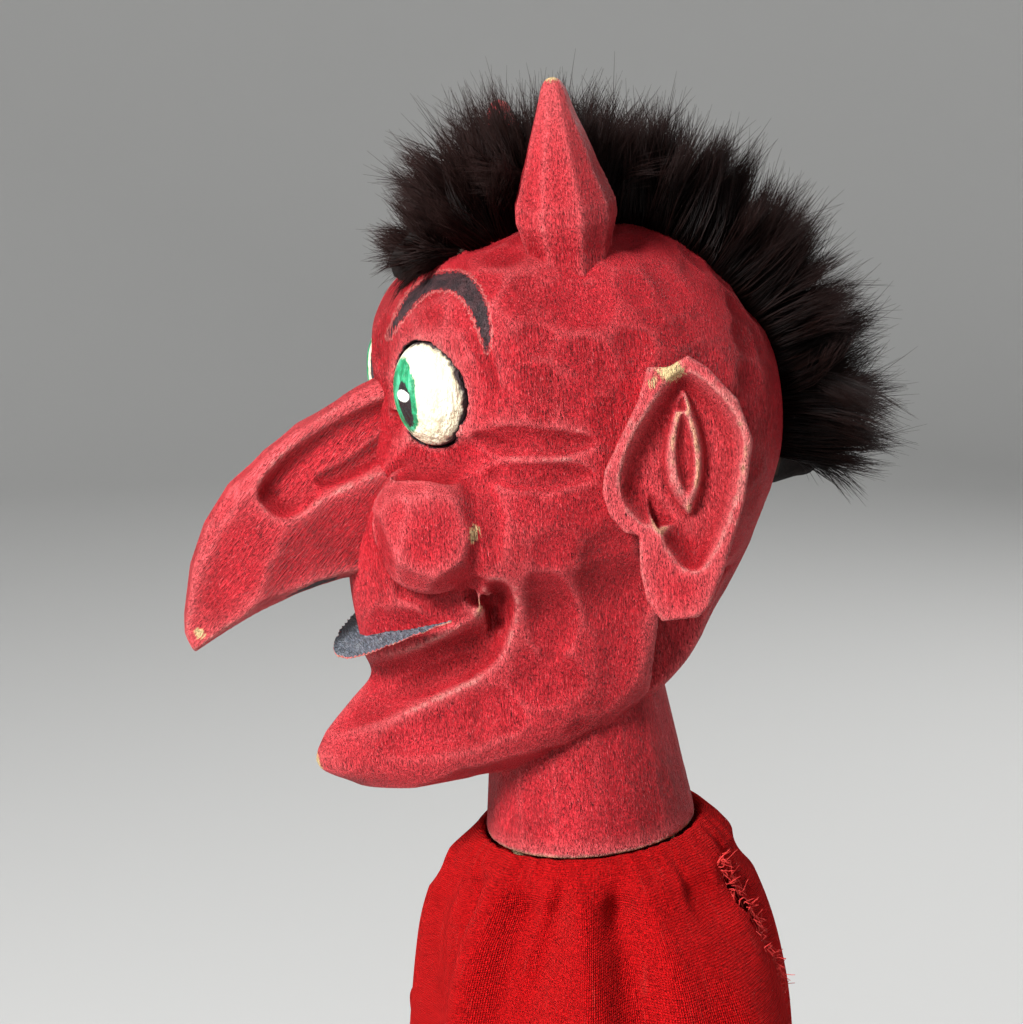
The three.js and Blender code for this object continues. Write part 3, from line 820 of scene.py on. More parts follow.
def carve_face(clay):
    """Cheek, mouth, folds and gouge cuts on the +X side."""
    clay.add(ellipsoid((19.0, -12, 65.5), (10.6, 14, 12)), blend=6)
    # a groove round the cheek, then the ball of the cheek with its knife facets
    clay.gouge([(-38, 79.0), (-33, 82.6), (-26, 82.0), (-19.8, 77.0), (-18.4, 70), (-19.4, 63)], 3.0,
               [1.3, 1.4, 1.2, 1.0, 0.8, 0.4], plane=24.0, blend=0.6)
    cheek = ellipsoid((17.4, -29.2, 68.9), (11.6, 11.0, 12.4))
    cheek = faceted(
        cheek,
        ((26.6, -30.0, 69.0), (0.95, -0.26, 0.06)),
        ((23.4, -36.6, 71.5), (0.62, -0.76, 0.16)),
        ((24.4, -34.2, 62.0), (0.64, -0.50, -0.58)),
        ((25.2, -24.6, 61.6), (0.72, 0.16, -0.68)),
        ((26.0, -23.0, 72.5), (0.84, 0.48, 0.24)),
        ((24.2, -30.4, 78.6), (0.64, -0.20, 0.74)),
        ((17.0, -38.0, 66), (0.12, -0.98, -0.15)))
    clay.add(cheek, blend=0.5)
    # a flat for the eye, and the crease that runs down beside it
    normal = np.array([math.sin(math.radians(EYE_TURN)), -math.cos(math.radians(EYE_TURN)), 0])
    clay.cut(ellipsoid(np.array(EYE_AT) + normal * 13.4, (13.0, 11.6, 14.5), (0, 0, EYE_TURN)), blend=2.5)
    clay.gouge([(-20.5, 105.5), (-17.6, 100.6), (-16.9, 94), (-18.0, 88.9)], 2.2, [0.2, 1.0, 1.1, 0.3])
    # the soft band under the eye
    clay.gouge([(-31, 84.0), (-26, 82.0), (-19.5, 82.6), (-13, 82.0)], 4.4, [0.9, 1.5, 1.3, 0.3], blend=0.6)
    for outline, depth, wall in SIDE_CUTS:
        clay.press(rounded(outline), depth, wall, x_from=8, x_full=12)
    # deep cuts between the cheek and the nose, and under the cheek
    clay.cut(rod((14.0, -35.5, 79.5), (14.2, -39.0, 73.5), 1.5, 2.0))
    clay.cut(rod((14.2, -39.0, 73.5), (13.6, -39.4, 62.5), 2.0, 1.8))
    clay.gouge([(-36.5, 60.2), (-31, 56.6), (-26, 57.0), (-23, 59.2)], 2.6, [1.5, 1.9, 1.7, 1.0])
    # upper lip: one flat beside the mouth's corner
    clay.press(rounded([(-44, 57), (-34, 57), (-24.5, 55.6), (-24.5, 51.6), (-32, 50.2), (-44, 48.4)]),
               1.5, 4.0, x_from=3, x_full=14)
    # the long scoop from the chin to the curl of the smile
    clay.press(rounded(SMILE_SCOOP, 3), 4.6, 4.8, x_from=1, x_full=14)
    clay.gouge([(-24.5, 57.2), (-20.6, 55.6), (-20.3, 51.5)], 1.7, [1.0, 2.0, 1.3])
    clay.gouge([(-22.4, 56.6), (-20.5, 53.5), (-21.6, 48.6)], 0.9, [1.0, 1.4, 0.7])
    clay.gouge([(-42.5, 40.8), (-34, 42.4), (-27, 45.0)], 3.0, [0.4, 0.6, 0.4])
    # long flats on the side of the jaw
    clay.gouge([(-42, 32.6), (-30, 33.0), (-24, 34.0)], 16.0, [0.5, 0.8, 0.4])
    clay.gouge([(2, 62), (3, 50), (1, 36)], 20.0, [0.6, 1.0, 0.5])


def build_head():
    clay = Clay((-42, -58, 10), (42, 48, 124), STEP)
    rough_out_head(clay)
    carve_face(clay)
    clay.cut(eye_ball(1, 0.35), blend=0.3)
    clay.mirrored()
    clay.scallops(330, 26, 0.62, seed=11, reach=lambda v: (v[:, 2] > 62) | (v[:, 1] > -12))
    clay.scallops(220, 15, 0.34, seed=12)
    raw = [((21, -34.8, 69.2), 1.6), ((26, -23.5, 68.7), 1.9), ((0, -53, 22), 2.5)]
    head, verts = carved_piece("head_carving", clay, head_to_world, raw=raw)
    x, y, z = verts.T
    brow = outline_distance(rounded(BROW, 4), *drawn_at(np.abs(x), y, z, 26.0))
    brow = np.where((np.abs(x) > 3) & (z > 97), brow, 9)
    add_number(head, "brow", brow)
    gaps = [eye_ball(side)[0](x, y, z) for side in (1, -1)]
    add_number(head, "eye_gap", np.where(z > 80, np.minimum(*gaps), 9))
    finish_piece(head, stained_wood("head_wood", face_paint), "head", "stained_wood", "head_block")


MOUTH = {"half": 26.4, "depth": 32.0, "lip": 5.0, "centre": -10.0, "z": 46.2, "rise": 6.0, "corner": 24.0}


def build_lip():
    """The lower lip: a thin wedge that juts out under the mouth, its upper face painted grey."""
    clay = Clay((-28, -51, 37), (28, -16, 57), 0.36)
    x, y, z = clay.grid()
    half, depth, corner = MOUTH["half"], MOUTH["depth"], MOUTH["corner"]
    behind = y - MOUTH["centre"]
    share = np.abs(x) / corner
    line = MOUTH["z"] + MOUTH["rise"] * share ** 2
    inner = np.sqrt((x / half) ** 2 + (behind / depth) ** 2)
    outer = np.sqrt((x / half) ** 2 + (behind / (depth + MOUTH["lip"])) ** 2)
    past = (inner - 1) * depth
    top = (z - line + 0.62 * past) * 0.85
    under = (line - 3.6 + 2.9 * share ** 2 - z - 0.30 * (past - 5)) * 0.9
    rim = (outer - 1) * depth
    back = -2.2 - past
    clay.field[:] = np.maximum(np.maximum(top, under), np.maximum(rim, back))
    clay.field[:] = np.maximum(clay.field, (np.abs(x) - corner - 0.6) + 0 * y + 0 * z)
    clay.scallops(40, 14, 0.16, seed=21)
    lip, verts = carved_piece("lower_lip", clay, head_to_world, grain=(1, 0, 0))
    slope = clay.slope(verts)
    add_number(lip, "upper", slope[:, 2] / np.maximum(np.linalg.norm(slope, axis=1), 1e-6))
    finish_piece(lip, stained_wood("lip_wood", lip_paint), "head", "stained_wood")


# the nose from the side, as (y, z)
NOSE_RIDGE = [(-26, 97.4), (-34, 94.2), (-41, 91.0), (-48.5, 87.8), (-56.2, 83.1), (-62.6, 78.3),
              (-68.0, 71.7), (-71.6, 64.3), (-74.0, 55.0), (-74.4, 51.2)]
NOSE_UNDER = [(-73.3, 48.0), (-68.5, 50.3), (-60.5, 53.6), (-53, 56.0), (-44, 57.6), (-36, 57.6),
              (-26, 57.0)]
NOSE_FACET = [(-24, 82), (-31.5, 80.4), (-37.1, 78.0), (-45.2, 75.8), (-51.2, 72.3), (-55.7, 66.7),
              (-60.6, 59.8), (-63, 53), (-60, 40), (-20, 40)]
NOSE_SCOOP = [(-57.6, 80.4), (-58.6, 76.6), (-55.4, 72.6), (-51.2, 72.4), (-45.2, 75.4), (-37.1, 77.6),
              (-28, 81.5), (-24, 93), (-30.9, 92.4), (-41.4, 90.4), (-49.4, 86.6), (-54.6, 83.2)]
NOSE_SCOOP_DEEP = [(-47.6, 79.4), (-46.1, 76.8), (-41, 77.4), (-34.9, 80.0), (-27, 84.5), (-27, 89.5),
                   (-34.2, 85.6), (-40.8, 82.0)]


def build_nose():
    clay = Clay((-17, -78, 44), (17, -22, 101), 0.55)
    x, y, z = clay.grid()
    edge = NOSE_RIDGE + NOSE_UNDER
    profile = outline_distance(edge, y, z)
    ridge = NOSE_RIDGE + [(-80, 40), (-95, 70), (-60, 120), (-26, 120)]
    below = np.maximum(outline_distance(ridge, y, z), 0)
    floor = NOSE_UNDER[::-1] + [(-74.4, 49.0), (-90, 40), (-60, 20), (-20, 20)]
    above = np.maximum(outline_distance(floor, y, z), 0)
    behind = np.maximum(-outline_distance(NOSE_FACET, y, z), 0)
    widening = np.clip(0.17 + 0.0047 * (y + 74), 0.14, 0.40)
    band = 2.6 + 0.95 * below
    flank = 4.5 + widening * (below - 2.2)
    lower = flank - 0.46 * behind
    bottom = 1.2 + 2.1 * above
    tip = 2.4 + 0.30 * (y + 75.5) + 0 * z
    width = np.minimum(np.minimum(band, lower), np.minimum(bottom, tip))
    clay.field[:] = np.maximum(profile * 0.95, (np.abs(x) - width) * 0.86)
    clay.press(rounded(NOSE_SCOOP), 3.0, 4.0, plane=8.0)
    clay.press(rounded(NOSE_SCOOP_DEEP), 1.2, 2.2, plane=8.0)
    clay.press(rounded([(-60, 66), (-66, 58), (-70, 55), (-70, 64), (-64, 73)]), 0.35, 5, plane=4.0)
    clay.mirrored()
    clay.scallops(120, 30, 0.36, seed=31)
    raw = [((0, -73.6, 49.6), 1.8), ((3, -72, 52), 1.2)]
    nose, verts = carved_piece("nose_carving", clay, head_to_world, grain=(0, -0.72, -0.69), raw=raw)
    vx, vy, vz = verts.T
    spot = np.sqrt(((np.abs(vx) - 3.2) / 1.6) ** 2 + ((vy + 49.5) / 4.2) ** 2) - 1
    add_number(nose, "nostril", np.where(vz < 60, spot, 3))
    finish_piece(nose, stained_wood("nose_wood", nostril_paint), "head", "stained_wood", "nose")


NECK_BORE = 11.1
NECK_SIDES = 15
NECK_PROFILE = [(44, 14.8), (0.6, 20.92), (0.0, 20.4), (-0.3, 19.0), (-0.6, 14.0), (-8, 14.0),
                (-8.4, 17.0), (-12.6, 17.0), (-13, 16.4)]


def build_neck():
    """A cone cut with broad vertical flats, a sharp rim, and below it the groove for the cord."""
    clay = Clay((-23, -23, -14), (23, 23, 45), 0.6)
    x, y, z = clay.grid()
    out = np.sqrt(x ** 2 + y ** 2)
    stations = [row[0] for row in NECK_PROFILE][::-1]
    radius = np.interp(z, stations, [row[1] for row in NECK_PROFILE][::-1])
    solid = np.maximum(out - radius, np.maximum(z - 44, -13 - z))
    rng = np.random.default_rng(41)
    for turn in np.arange(NECK_SIDES) * math.tau / NECK_SIDES:
        turn += rng.uniform(-0.1, 0.1)
        flat = (x * math.cos(turn) + y * math.sin(turn)) - (radius - rng.uniform(0.12, 0.42))
        solid = np.maximum(solid, np.where(z > 0.4, flat, -9))
    bore = np.where(out < NECK_BORE, NECK_BORE - out, -9)
    clay.field[:] = np.maximum(solid, bore + 0 * z)
    clay.scallops(60, 40, 0.16, seed=42, reach=lambda v: v[:, 2] > 3)
    neck, _ = carved_piece("neck_carving", clay, head_to_world)
    finish_piece(neck, stained_wood("neck_wood"), "head", "stained_wood", "neck")


def build_eye(side, word):
    """A carved dome; the paint's place on it is stored as millimetres across and up."""
    clay = Clay((5, -34, 82), (29, -9, 106), 0.4)
    clay.field[:] = 9
    clay.add(eye_ball(1))
    clay.scallops(30, 14, 0.05, seed=51)
    eye, verts = carved_piece(f"{word}_eye_carving", clay, head_to_world, mirror=side < 0)
    x, y, z = verts.T
    turn = math.radians(EYE_TURN)
    across = (x - EYE_AT[0]) * math.cos(turn) + (y - EYE_AT[1]) * math.sin(turn)
    out = (x - EYE_AT[0]) * math.sin(turn) - (y - EYE_AT[1]) * math.cos(turn)
    add_number(eye, "across", across)
    add_number(eye, "up", z - EYE_AT[2])
    wide = np.sqrt((across / EYE_RADII[0]) ** 2 + ((z - EYE_AT[2]) / EYE_RADII[2]) ** 2)
    add_number(eye, "rim", np.where(out > 0, (1.02 - wide) * 9, 0))
    finish_piece(eye, EYE_SURFACE, "head", "eye_paint", f"{word}_eye")


# the ear from the side, as (y, z)
EAR_OUTLINE = [(16.2, 97.2), (12.4, 95.6), (8.6, 96.2), (6.4, 90.5), (2.3, 84), (-0.8, 79), (-1.6, 75),
               (-0.6, 70.6), (1.8, 67.3), (4.4, 66.4), (4.0, 60), (4.6, 54.5), (7.2, 50.0), (14.0, 49.6),
               (16.4, 51.4), (19.7, 57.5), (24.6, 69.7), (27.0, 80.4), (24.8, 88), (19.6, 94.6)]
EAR_BOWL = [(12.0, 93.2), (7.0, 87.4), (2.9, 81.0), (1.6, 74.0), (5.0, 68.4), (8.2, 67.2), (9.0, 63.6),
            (12.0, 59.0), (15.6, 58.4), (19.6, 63.5), (23.4, 71.5), (25.4, 80.3), (23.2, 87.2),
            (18.6, 92.7), (15.0, 94.6)]
EAR_ALMOND = [(14.8, 91.6), (17.0, 86.6), (18.0, 80.5), (17.2, 74.2), (14.4, 68.6), (12.2, 70.6),
              (10.2, 75.0), (10.2, 80.8), (12.2, 87.4)]


EAR_SLIT = [(14.6, 87.6), (15.9, 83.0), (16.2, 78.0), (15.2, 73.4), (13.6, 72.6), (12.4, 76.4), (12.3, 81.2),
            (13.2, 85.4)]


def ear_face(y, z):
    return 36.0 + 0.37 * (y + 1) - 0.012 * (z - 72)


def build_ear(side, word):
    clay = Clay((24, -4, 46), (50, 30, 100), 0.5)
    x, y, z = clay.grid()
    face = ear_face(y, z)
    clay.field[:] = (x - face) * 0.94 + 0 * z
    clay.press(rounded(EAR_BOWL, 3), 4.2, 4.2, plane=38.0)
    clay.press(rounded(EAR_ALMOND, 4), -2.6, 1.8, plane=38.0)
    clay.press(rounded(EAR_SLIT, 4), 1.9, 1.6, plane=38.0)
    edge = outline_distance(EAR_OUTLINE, *drawn_at(x, y, z, 38.0))
    bevel = (x - face) * 0.5 + edge * 0.85 + 0.25
    plate = np.maximum((face - 7.4 - x) * 0.94, np.maximum(edge, bevel))
    clay.field[:] = np.maximum(clay.field, plate)
    clay.scallops(90, 18, 0.16, seed=61)
    raw = [((39.5, 12.5, 95.6), 2.7), ((38.4, 9.5, 93.5), 1.5), ((45, 26.4, 81), 1.0)]
    ear, _ = carved_piece(f"{word}_ear_carving", clay, head_to_world, mirror=side < 0, raw=raw)
    finish_piece(ear, EAR_SURFACE, "head", "stained_wood", f"{word}_ear")


HORN_FOOT, HORN_TIP = (17.4, 1.6, 108.0), (21.6, 0.8, 146.9)
HORN_PROFILE = [(0, 7.5), (9, 7.8), (14.0, 9.1), (16.5, 9.0), (33, 3.4), (37, 2.2), (38.4, 1.4),
                (38.9, 0.5)]
HORN_SIDES = 9


RIGHT_HORN_WEAR = 5.0
HORN_WAIST = 17


def build_horn(side, word):
    clay = Clay((6, -10, 106), (33, 13, 149), 0.42)
    x, y, z = clay.grid()
    foot, tip = np.array(HORN_FOOT), np.array(HORN_TIP)
    axis = (tip - foot) / np.linalg.norm(tip - foot)
    u = np.cross(axis, (0, 1, 0))
    u /= np.linalg.norm(u)
    v = np.cross(axis, u)
    dx, dy, dz = x - foot[0], y - foot[1], z - foot[2]
    height = dx * axis[0] + dy * axis[1] + dz * axis[2]
    if side < 0:
        # the worn horn tapers to its point sooner
        full = HORN_PROFILE[-1][0] - HORN_WAIST
        above = (height - HORN_WAIST) * full / (full - RIGHT_HORN_WEAR)
        height = np.where(height > HORN_WAIST, HORN_WAIST + above, height)
    radius = np.interp(height, [row[0] for row in HORN_PROFILE], [row[1] for row in HORN_PROFILE])
    across, ahead = (dx * k[0] + dy * k[1] + dz * k[2] for k in (u, v))
    solid = np.maximum(-height, height - HORN_PROFILE[-1][0])
    rng = np.random.default_rng(71)
    for k in range(HORN_SIDES):
        turn = math.tau * (k + rng.uniform(-0.16, 0.16)) / HORN_SIDES
        flat = across * math.cos(turn) + ahead * math.sin(turn) - radius * rng.uniform(0.95, 1.02)
        solid = np.maximum(solid, flat * 0.95)
    clay.field[:] = solid
    clay.scallops(40, 26, 0.14, seed=72)
    raw = [(HORN_TIP, 1.6)]
    horn, _ = carved_piece(f"{word}_horn_carving", clay, head_to_world, mirror=side < 0, grain=axis, raw=raw)
    finish_piece(horn, HORN_SURFACE, "head", "stained_wood", f"{word}_horn")


# ---------------------------------------------------------------- fur

# where the fur grows in the middle of the head (y, z), which way it points there, and its length
CREST = [
    (-20.0, 114.6, -0.98, 0.06, 11),
    (-16.5, 116.4, -0.84, 0.40, 13),
    (-10.0, 118.8, -0.50, 0.82, 20.5),
    (-3.0, 120.2, -0.20, 0.97, 24.5),
    (6.0, 120.6, -0.02, 1.0, 23),
    (18.0, 118.0, 0.26, 0.96, 22),
    (29.0, 111.0, 0.55, 0.83, 22),
    (37.0, 102.0, 0.76, 0.64, 22),
    (42.0, 91.5, 0.95, 0.30, 22),
    (44.0, 80.0, 1.0, 0.02, 24),
    (43.0, 69.5, 0.93, -0.30, 22),
]
CREST_HALF = 9.5
FUR_STRANDS = 33000
FUR_POINTS = 5
FUR_LOCKS = 330
# guard hairs stand out of the pile: their share, extra length and radius; then the other hairs' radius
GUARD_SHARE, GUARD_LENGTH, GUARD_RADIUS, HAIR_RADIUS = 0.06, 1.16, 0.14, 0.115


def strand_mesh(name, paths, radii):
    """Tapered three-sided strands along paths (strand, point, xyz) in metres, closed at both ends."""
    count, length = paths.shape[:2]
    along = np.gradient(paths, axis=1)
    along /= np.maximum(np.linalg.norm(along, axis=2, keepdims=True), 1e-9)
    side = np.cross(along, np.array([0.31, 0.17, 0.93]))
    side /= np.maximum(np.linalg.norm(side, axis=2, keepdims=True), 1e-9)
    other = np.cross(along, side)
    rings = []
    for turn in np.arange(3) * math.tau / 3:
        rings.append(paths + radii[..., None] * (math.cos(turn) * side + math.sin(turn) * other))
    verts = np.stack(rings, axis=2).reshape(-1, 3)
    base = (np.arange(count) * length * 3)[:, None, None] + (np.arange(length - 1) * 3)[None, :, None]
    quads = []
    for k in range(3):
        nxt = (k + 1) % 3
        quads.append(np.concatenate([base + k, base + nxt, base + 3 + nxt, base + 3 + k], axis=2))
    quads = np.stack(quads, axis=2).reshape(-1, 4)
    start = np.arange(count)[:, None] * length * 3
    caps = np.concatenate([start + [[2, 1, 0]], start + (length - 1) * 3 + [[0, 1, 2]]])
    return new_piece(name, verts, quads, caps)


def crest_frame(share):
    table = np.array(CREST, float)
    gaps = np.linalg.norm(np.diff(table[:, :2], axis=0), axis=1)
    stations = np.concatenate([[0], np.cumsum(gaps)]) / gaps.sum()
    return [np.interp(share, stations, table[:, k]) for k in range(5)]


def build_fur():
    """Dense short underfur with longer guard hairs, all in locks that lean together."""
    surface = fur_hair()
    rng = np.random.default_rng(81)
    count, steps = FUR_STRANDS, FUR_POINTS
    share, across = rng.random(count), rng.uniform(-1, 1, count)
    y, z, dy, dz, length = crest_frame(share)
    x = across * CREST_HALF * (1 - 0.25 * (share < 0.06))
    sink = 0.012 * x ** 2 + 1.0
    norm = np.sqrt(dy ** 2 + dz ** 2)
    root = np.stack([x, y - sink * dy / norm, z - sink * dz / norm], axis=1)
    out = np.stack([0.42 * across + rng.normal(0, 0.10, count), dy + rng.normal(0, 0.10, count),
                    dz + rng.normal(0, 0.10, count)], axis=1)
    out /= np.linalg.norm(out, axis=1)[:, None]
    length = length * np.clip(rng.normal(0.92, 0.13, count), 0.45, 1.2) * (1 - 0.12 * across ** 2)
    guard = rng.random(count) < GUARD_SHARE
    length = np.where(guard, length * GUARD_LENGTH, length)
    # each strand leans towards the middle of its lock
    picks = rng.integers(0, count, FUR_LOCKS)
    sway = rng.normal(0, 0.27, (FUR_LOCKS, 3))
    nearest = np.zeros(count, int)
    best = np.full(count, 1e9)
    for k, pick in enumerate(picks):
        gap = ((root - root[pick]) ** 2).sum(axis=1)
        closer = gap < best
        nearest[closer], best[closer] = k, gap[closer]
    middle = root[picks][nearest]
    heading = out[picks][nearest] + sway[nearest]
    heading /= np.linalg.norm(heading, axis=1)[:, None]
    t = np.linspace(0, 1, steps)[None, :, None]
    straight = root[:, None] + out[:, None] * length[:, None, None] * t
    lock = middle[:, None] + heading[:, None] * length[:, None, None] * t
    pull = 0.78 * t ** 1.2
    curl = rng.normal(0, 1.1, (count, 1, 3)) * t ** 2
    paths = straight * (1 - pull) + lock * pull + curl
    taper = 1 - 0.86 * np.linspace(0, 1, steps)[None] ** 1.5
    thick = np.where(guard, GUARD_RADIUS, HAIR_RADIUS)[:, None] * taper
    world = head_to_world(paths)
    for part, word in enumerate(("front", "middle", "back")):
        chosen = (share * 3).astype(int) == part
        piece = strand_mesh(f"fur_{word}", world[chosen], thick[chosen] * MM)
        each = steps * 3
        add_number(piece, "tip", np.tile(np.repeat(np.linspace(0, 1, steps), 3), chosen.sum()))
        add_number(piece, "tone", np.repeat(rng.random(chosen.sum()) ** 2, each))
        finish_piece(piece, surface, "head", "fur")
    build_underfur()


def build_underfur():
    """The dark matted body of the pile, which the strands stand out of."""
    clay = Clay((-20, -52, 60), (20, 72, 146), 1.0)
    for share in np.linspace(0.0, 1.0, 34):
        y, z, dy, dz, length = crest_frame(share)
        reach = 0.32 * length
        clay.add(rod((0, y, z), (0, y + dy * reach, z + dz * reach), CREST_HALF * 0.78, 4.2), blend=2)
    clay.scallops(200, 7, 0.7, seed=82)
    piece, _ = carved_piece("fur_underbody", clay, head_to_world)
    matted = plain_fibre("underfur", (0.014, 0.009, 0.008, 1), (0.005, 0.004, 0.0035, 1), 1.4, 0.0008, 0.95)
    finish_piece(piece, matted, "head", "fur", "crest_fur")


# ---------------------------------------------------------------- cloth

THREAD_PITCH = 0.5
RIM_Z = NECK[2] / MM
# the glove's height, front, back and half width
GLOVE = [(0, 46, 46, 70), (12, 45.4, 45.4, 69), (60, 43, 43.5, 65), (120, 40, 41.5, 58), (180, 37.5, 40, 54),
         (214, 35.6, 39.5, 52), (232, 33.6, 38, 46), (243, 31.8, 35.4, 39), (250, 30.0, 32.4, 33.5),
         (255.0, 28.6, 29.8, 29.6)]
# the gathered collar: height from the neck's rim, radius
COLLAR = [(-5.0, 28.6), (-2.8, 26.6), (-1.0, 24.6), (0.3, 23.2), (0.7, 22.3), (0.2, 21.6), (-1.2, 21.0),
          (-3.4, 18.6), (-5.4, 16.4), (-8.4, 15.2)]
GLOVE_POWER = 2.4
FOLD_SEED, FOLDS = 91, 24
# the share of the sheet that the collar takes, and the height where the skirt of the glove begins
COLLAR_SHARE = 0.14
SKIRT_TOP = RIM_Z + COLLAR[0][0]
# where the loft of the glove's body ends and the collar takes over
BODY_TOP = GLOVE[-1][0]
# how much bigger the flat cloth was cut than the gathered sheet measures
WIDTH_EASE, LENGTH_EASE = 1.04, 1.05


def glove_radius(turn, height):
    """The glove's outline at an angle from the front, in millimetres."""
    table = np.array(GLOVE, float)
    front, back, half = [smooth_curve(height, table[:, 0], table[:, k]) for k in (1, 2, 3)]
    power = GLOVE_POWER - 0.4 * np.clip((height - 200) / 55, 0, 1)
    sine, cosine = np.abs(np.sin(turn)), np.cos(turn)
    depth = np.where(cosine > 0, front, back)
    return ((sine / half) ** power + (np.abs(cosine) / depth) ** power) ** (-1 / power)


def fold_pattern(turn, height, rng):
    """Pleats that start sharp at the neck, wander, widen and die out downwards."""
    depth = np.zeros(np.broadcast(turn, height).shape)
    for _ in range(FOLDS):
        start = rng.uniform(0, math.tau)
        reach = rng.uniform(18, 60) if rng.random() < 0.7 else rng.uniform(90, 300)
        drift = rng.normal(0, 0.0022)
        slender = rng.uniform(0.08, 0.15)
        strength = rng.uniform(0.9, 2.1)
        down = RIM_Z - height
        place = start + drift * down + 0.02 * np.sin(down / 23 + start * 3)
        width = slender * (1 + down / 80)
        gap = (turn - place + math.pi) % math.tau - math.pi
        fade = np.clip(down / 7, 0, 1) * np.exp(-(down / reach) ** 2)
        grow = 1 + np.clip(down / 60, 0, 1.6)
        depth += strength * grow * fade * np.exp(-(gap / width) ** 2) * rng.choice([-1, 1], p=[0.65, 0.35])
    return depth


# pleats that can be told apart: angle at the neck, drift per mm, width, depth, length
PLEATS = [
    (0.84, 0.0006, 0.15, -5.6, 90),
    (1.10, -0.0052, 0.075, -3.6, 32),
    (1.20, 0.0042, 0.07, 2.8, 30),
    (1.46, 0.0020, 0.11, -5.0, 160),
    (1.30, 0.0010, 0.16, 3.2, 140),
    (1.68, 0.0016, 0.13, 3.0, 100),
    (0.56, 0.0010, 0.18, 3.2, 120),
    (0.30, 0.0004, 0.10, -3.4, 110),
    (1.95, 0.0006, 0.24, 1.6, 120),
]


def cloth_grid(columns, rows, shape):
    """Vertices and quads of a tube of cloth; shape(u, v) takes columns and rows from 0 to 1."""
    u = np.arange(columns)[None, :] / columns
    v = np.arange(rows)[:, None] / (rows - 1)
    verts = shape(u, v).reshape(-1, 3)
    a = (np.arange(rows - 1)[:, None] * columns + np.arange(columns)[None, :])
    b = (np.arange(rows - 1)[:, None] * columns + (np.arange(columns)[None, :] + 1) % columns)
    quads = np.stack([a, b, b + columns, a + columns], axis=2).reshape(-1, 4)
    return verts, quads


def add_weave(piece, columns, rows, verts, quads):
    """Stores each corner's place in the cloth, in millimetres along the two threads."""
    grid = verts.reshape(rows, columns, 3)
    around = np.linalg.norm(np.diff(np.concatenate([grid, grid[:, :1]], axis=1), axis=1), axis=2)
    width = np.median(around.sum(axis=1))
    down = np.concatenate([[0], np.cumsum(np.linalg.norm(np.diff(grid, axis=0), axis=2).mean(axis=1))])
    column, row = quads % columns, quads // columns
    column[:, 1:3] = np.where(column[:, 1:3] == 0, columns, column[:, 1:3])
    places = np.stack([column / columns * width, down[row], np.zeros(quads.shape)], axis=2)
    layer = piece.data.attributes.new("weave", "FLOAT_VECTOR", "CORNER")
    layer.data.foreach_set("vector", places.astype(np.float32).ravel())
    return width * MM, down[-1] * MM


TEAR_AT = (2.42, RIM_Z - 17)
TEAR_SIZE = (0.085, 11.5)


def tear_gap(turn, height):
    """Below zero inside the hole that has frayed open beside the seam."""
    du = (turn - TEAR_AT[0] - 0.006 * (TEAR_AT[1] - height)) / TEAR_SIZE[0]
    dv = (height - TEAR_AT[1]) / TEAR_SIZE[1]
    ragged = 0.22 * np.sin(turn * 131) + 0.2 * np.sin(height * 1.9 + turn * 40) + 0.12 * np.sin(height * 4.3)
    return np.sqrt(du ** 2 + dv ** 2) - 1 + ragged


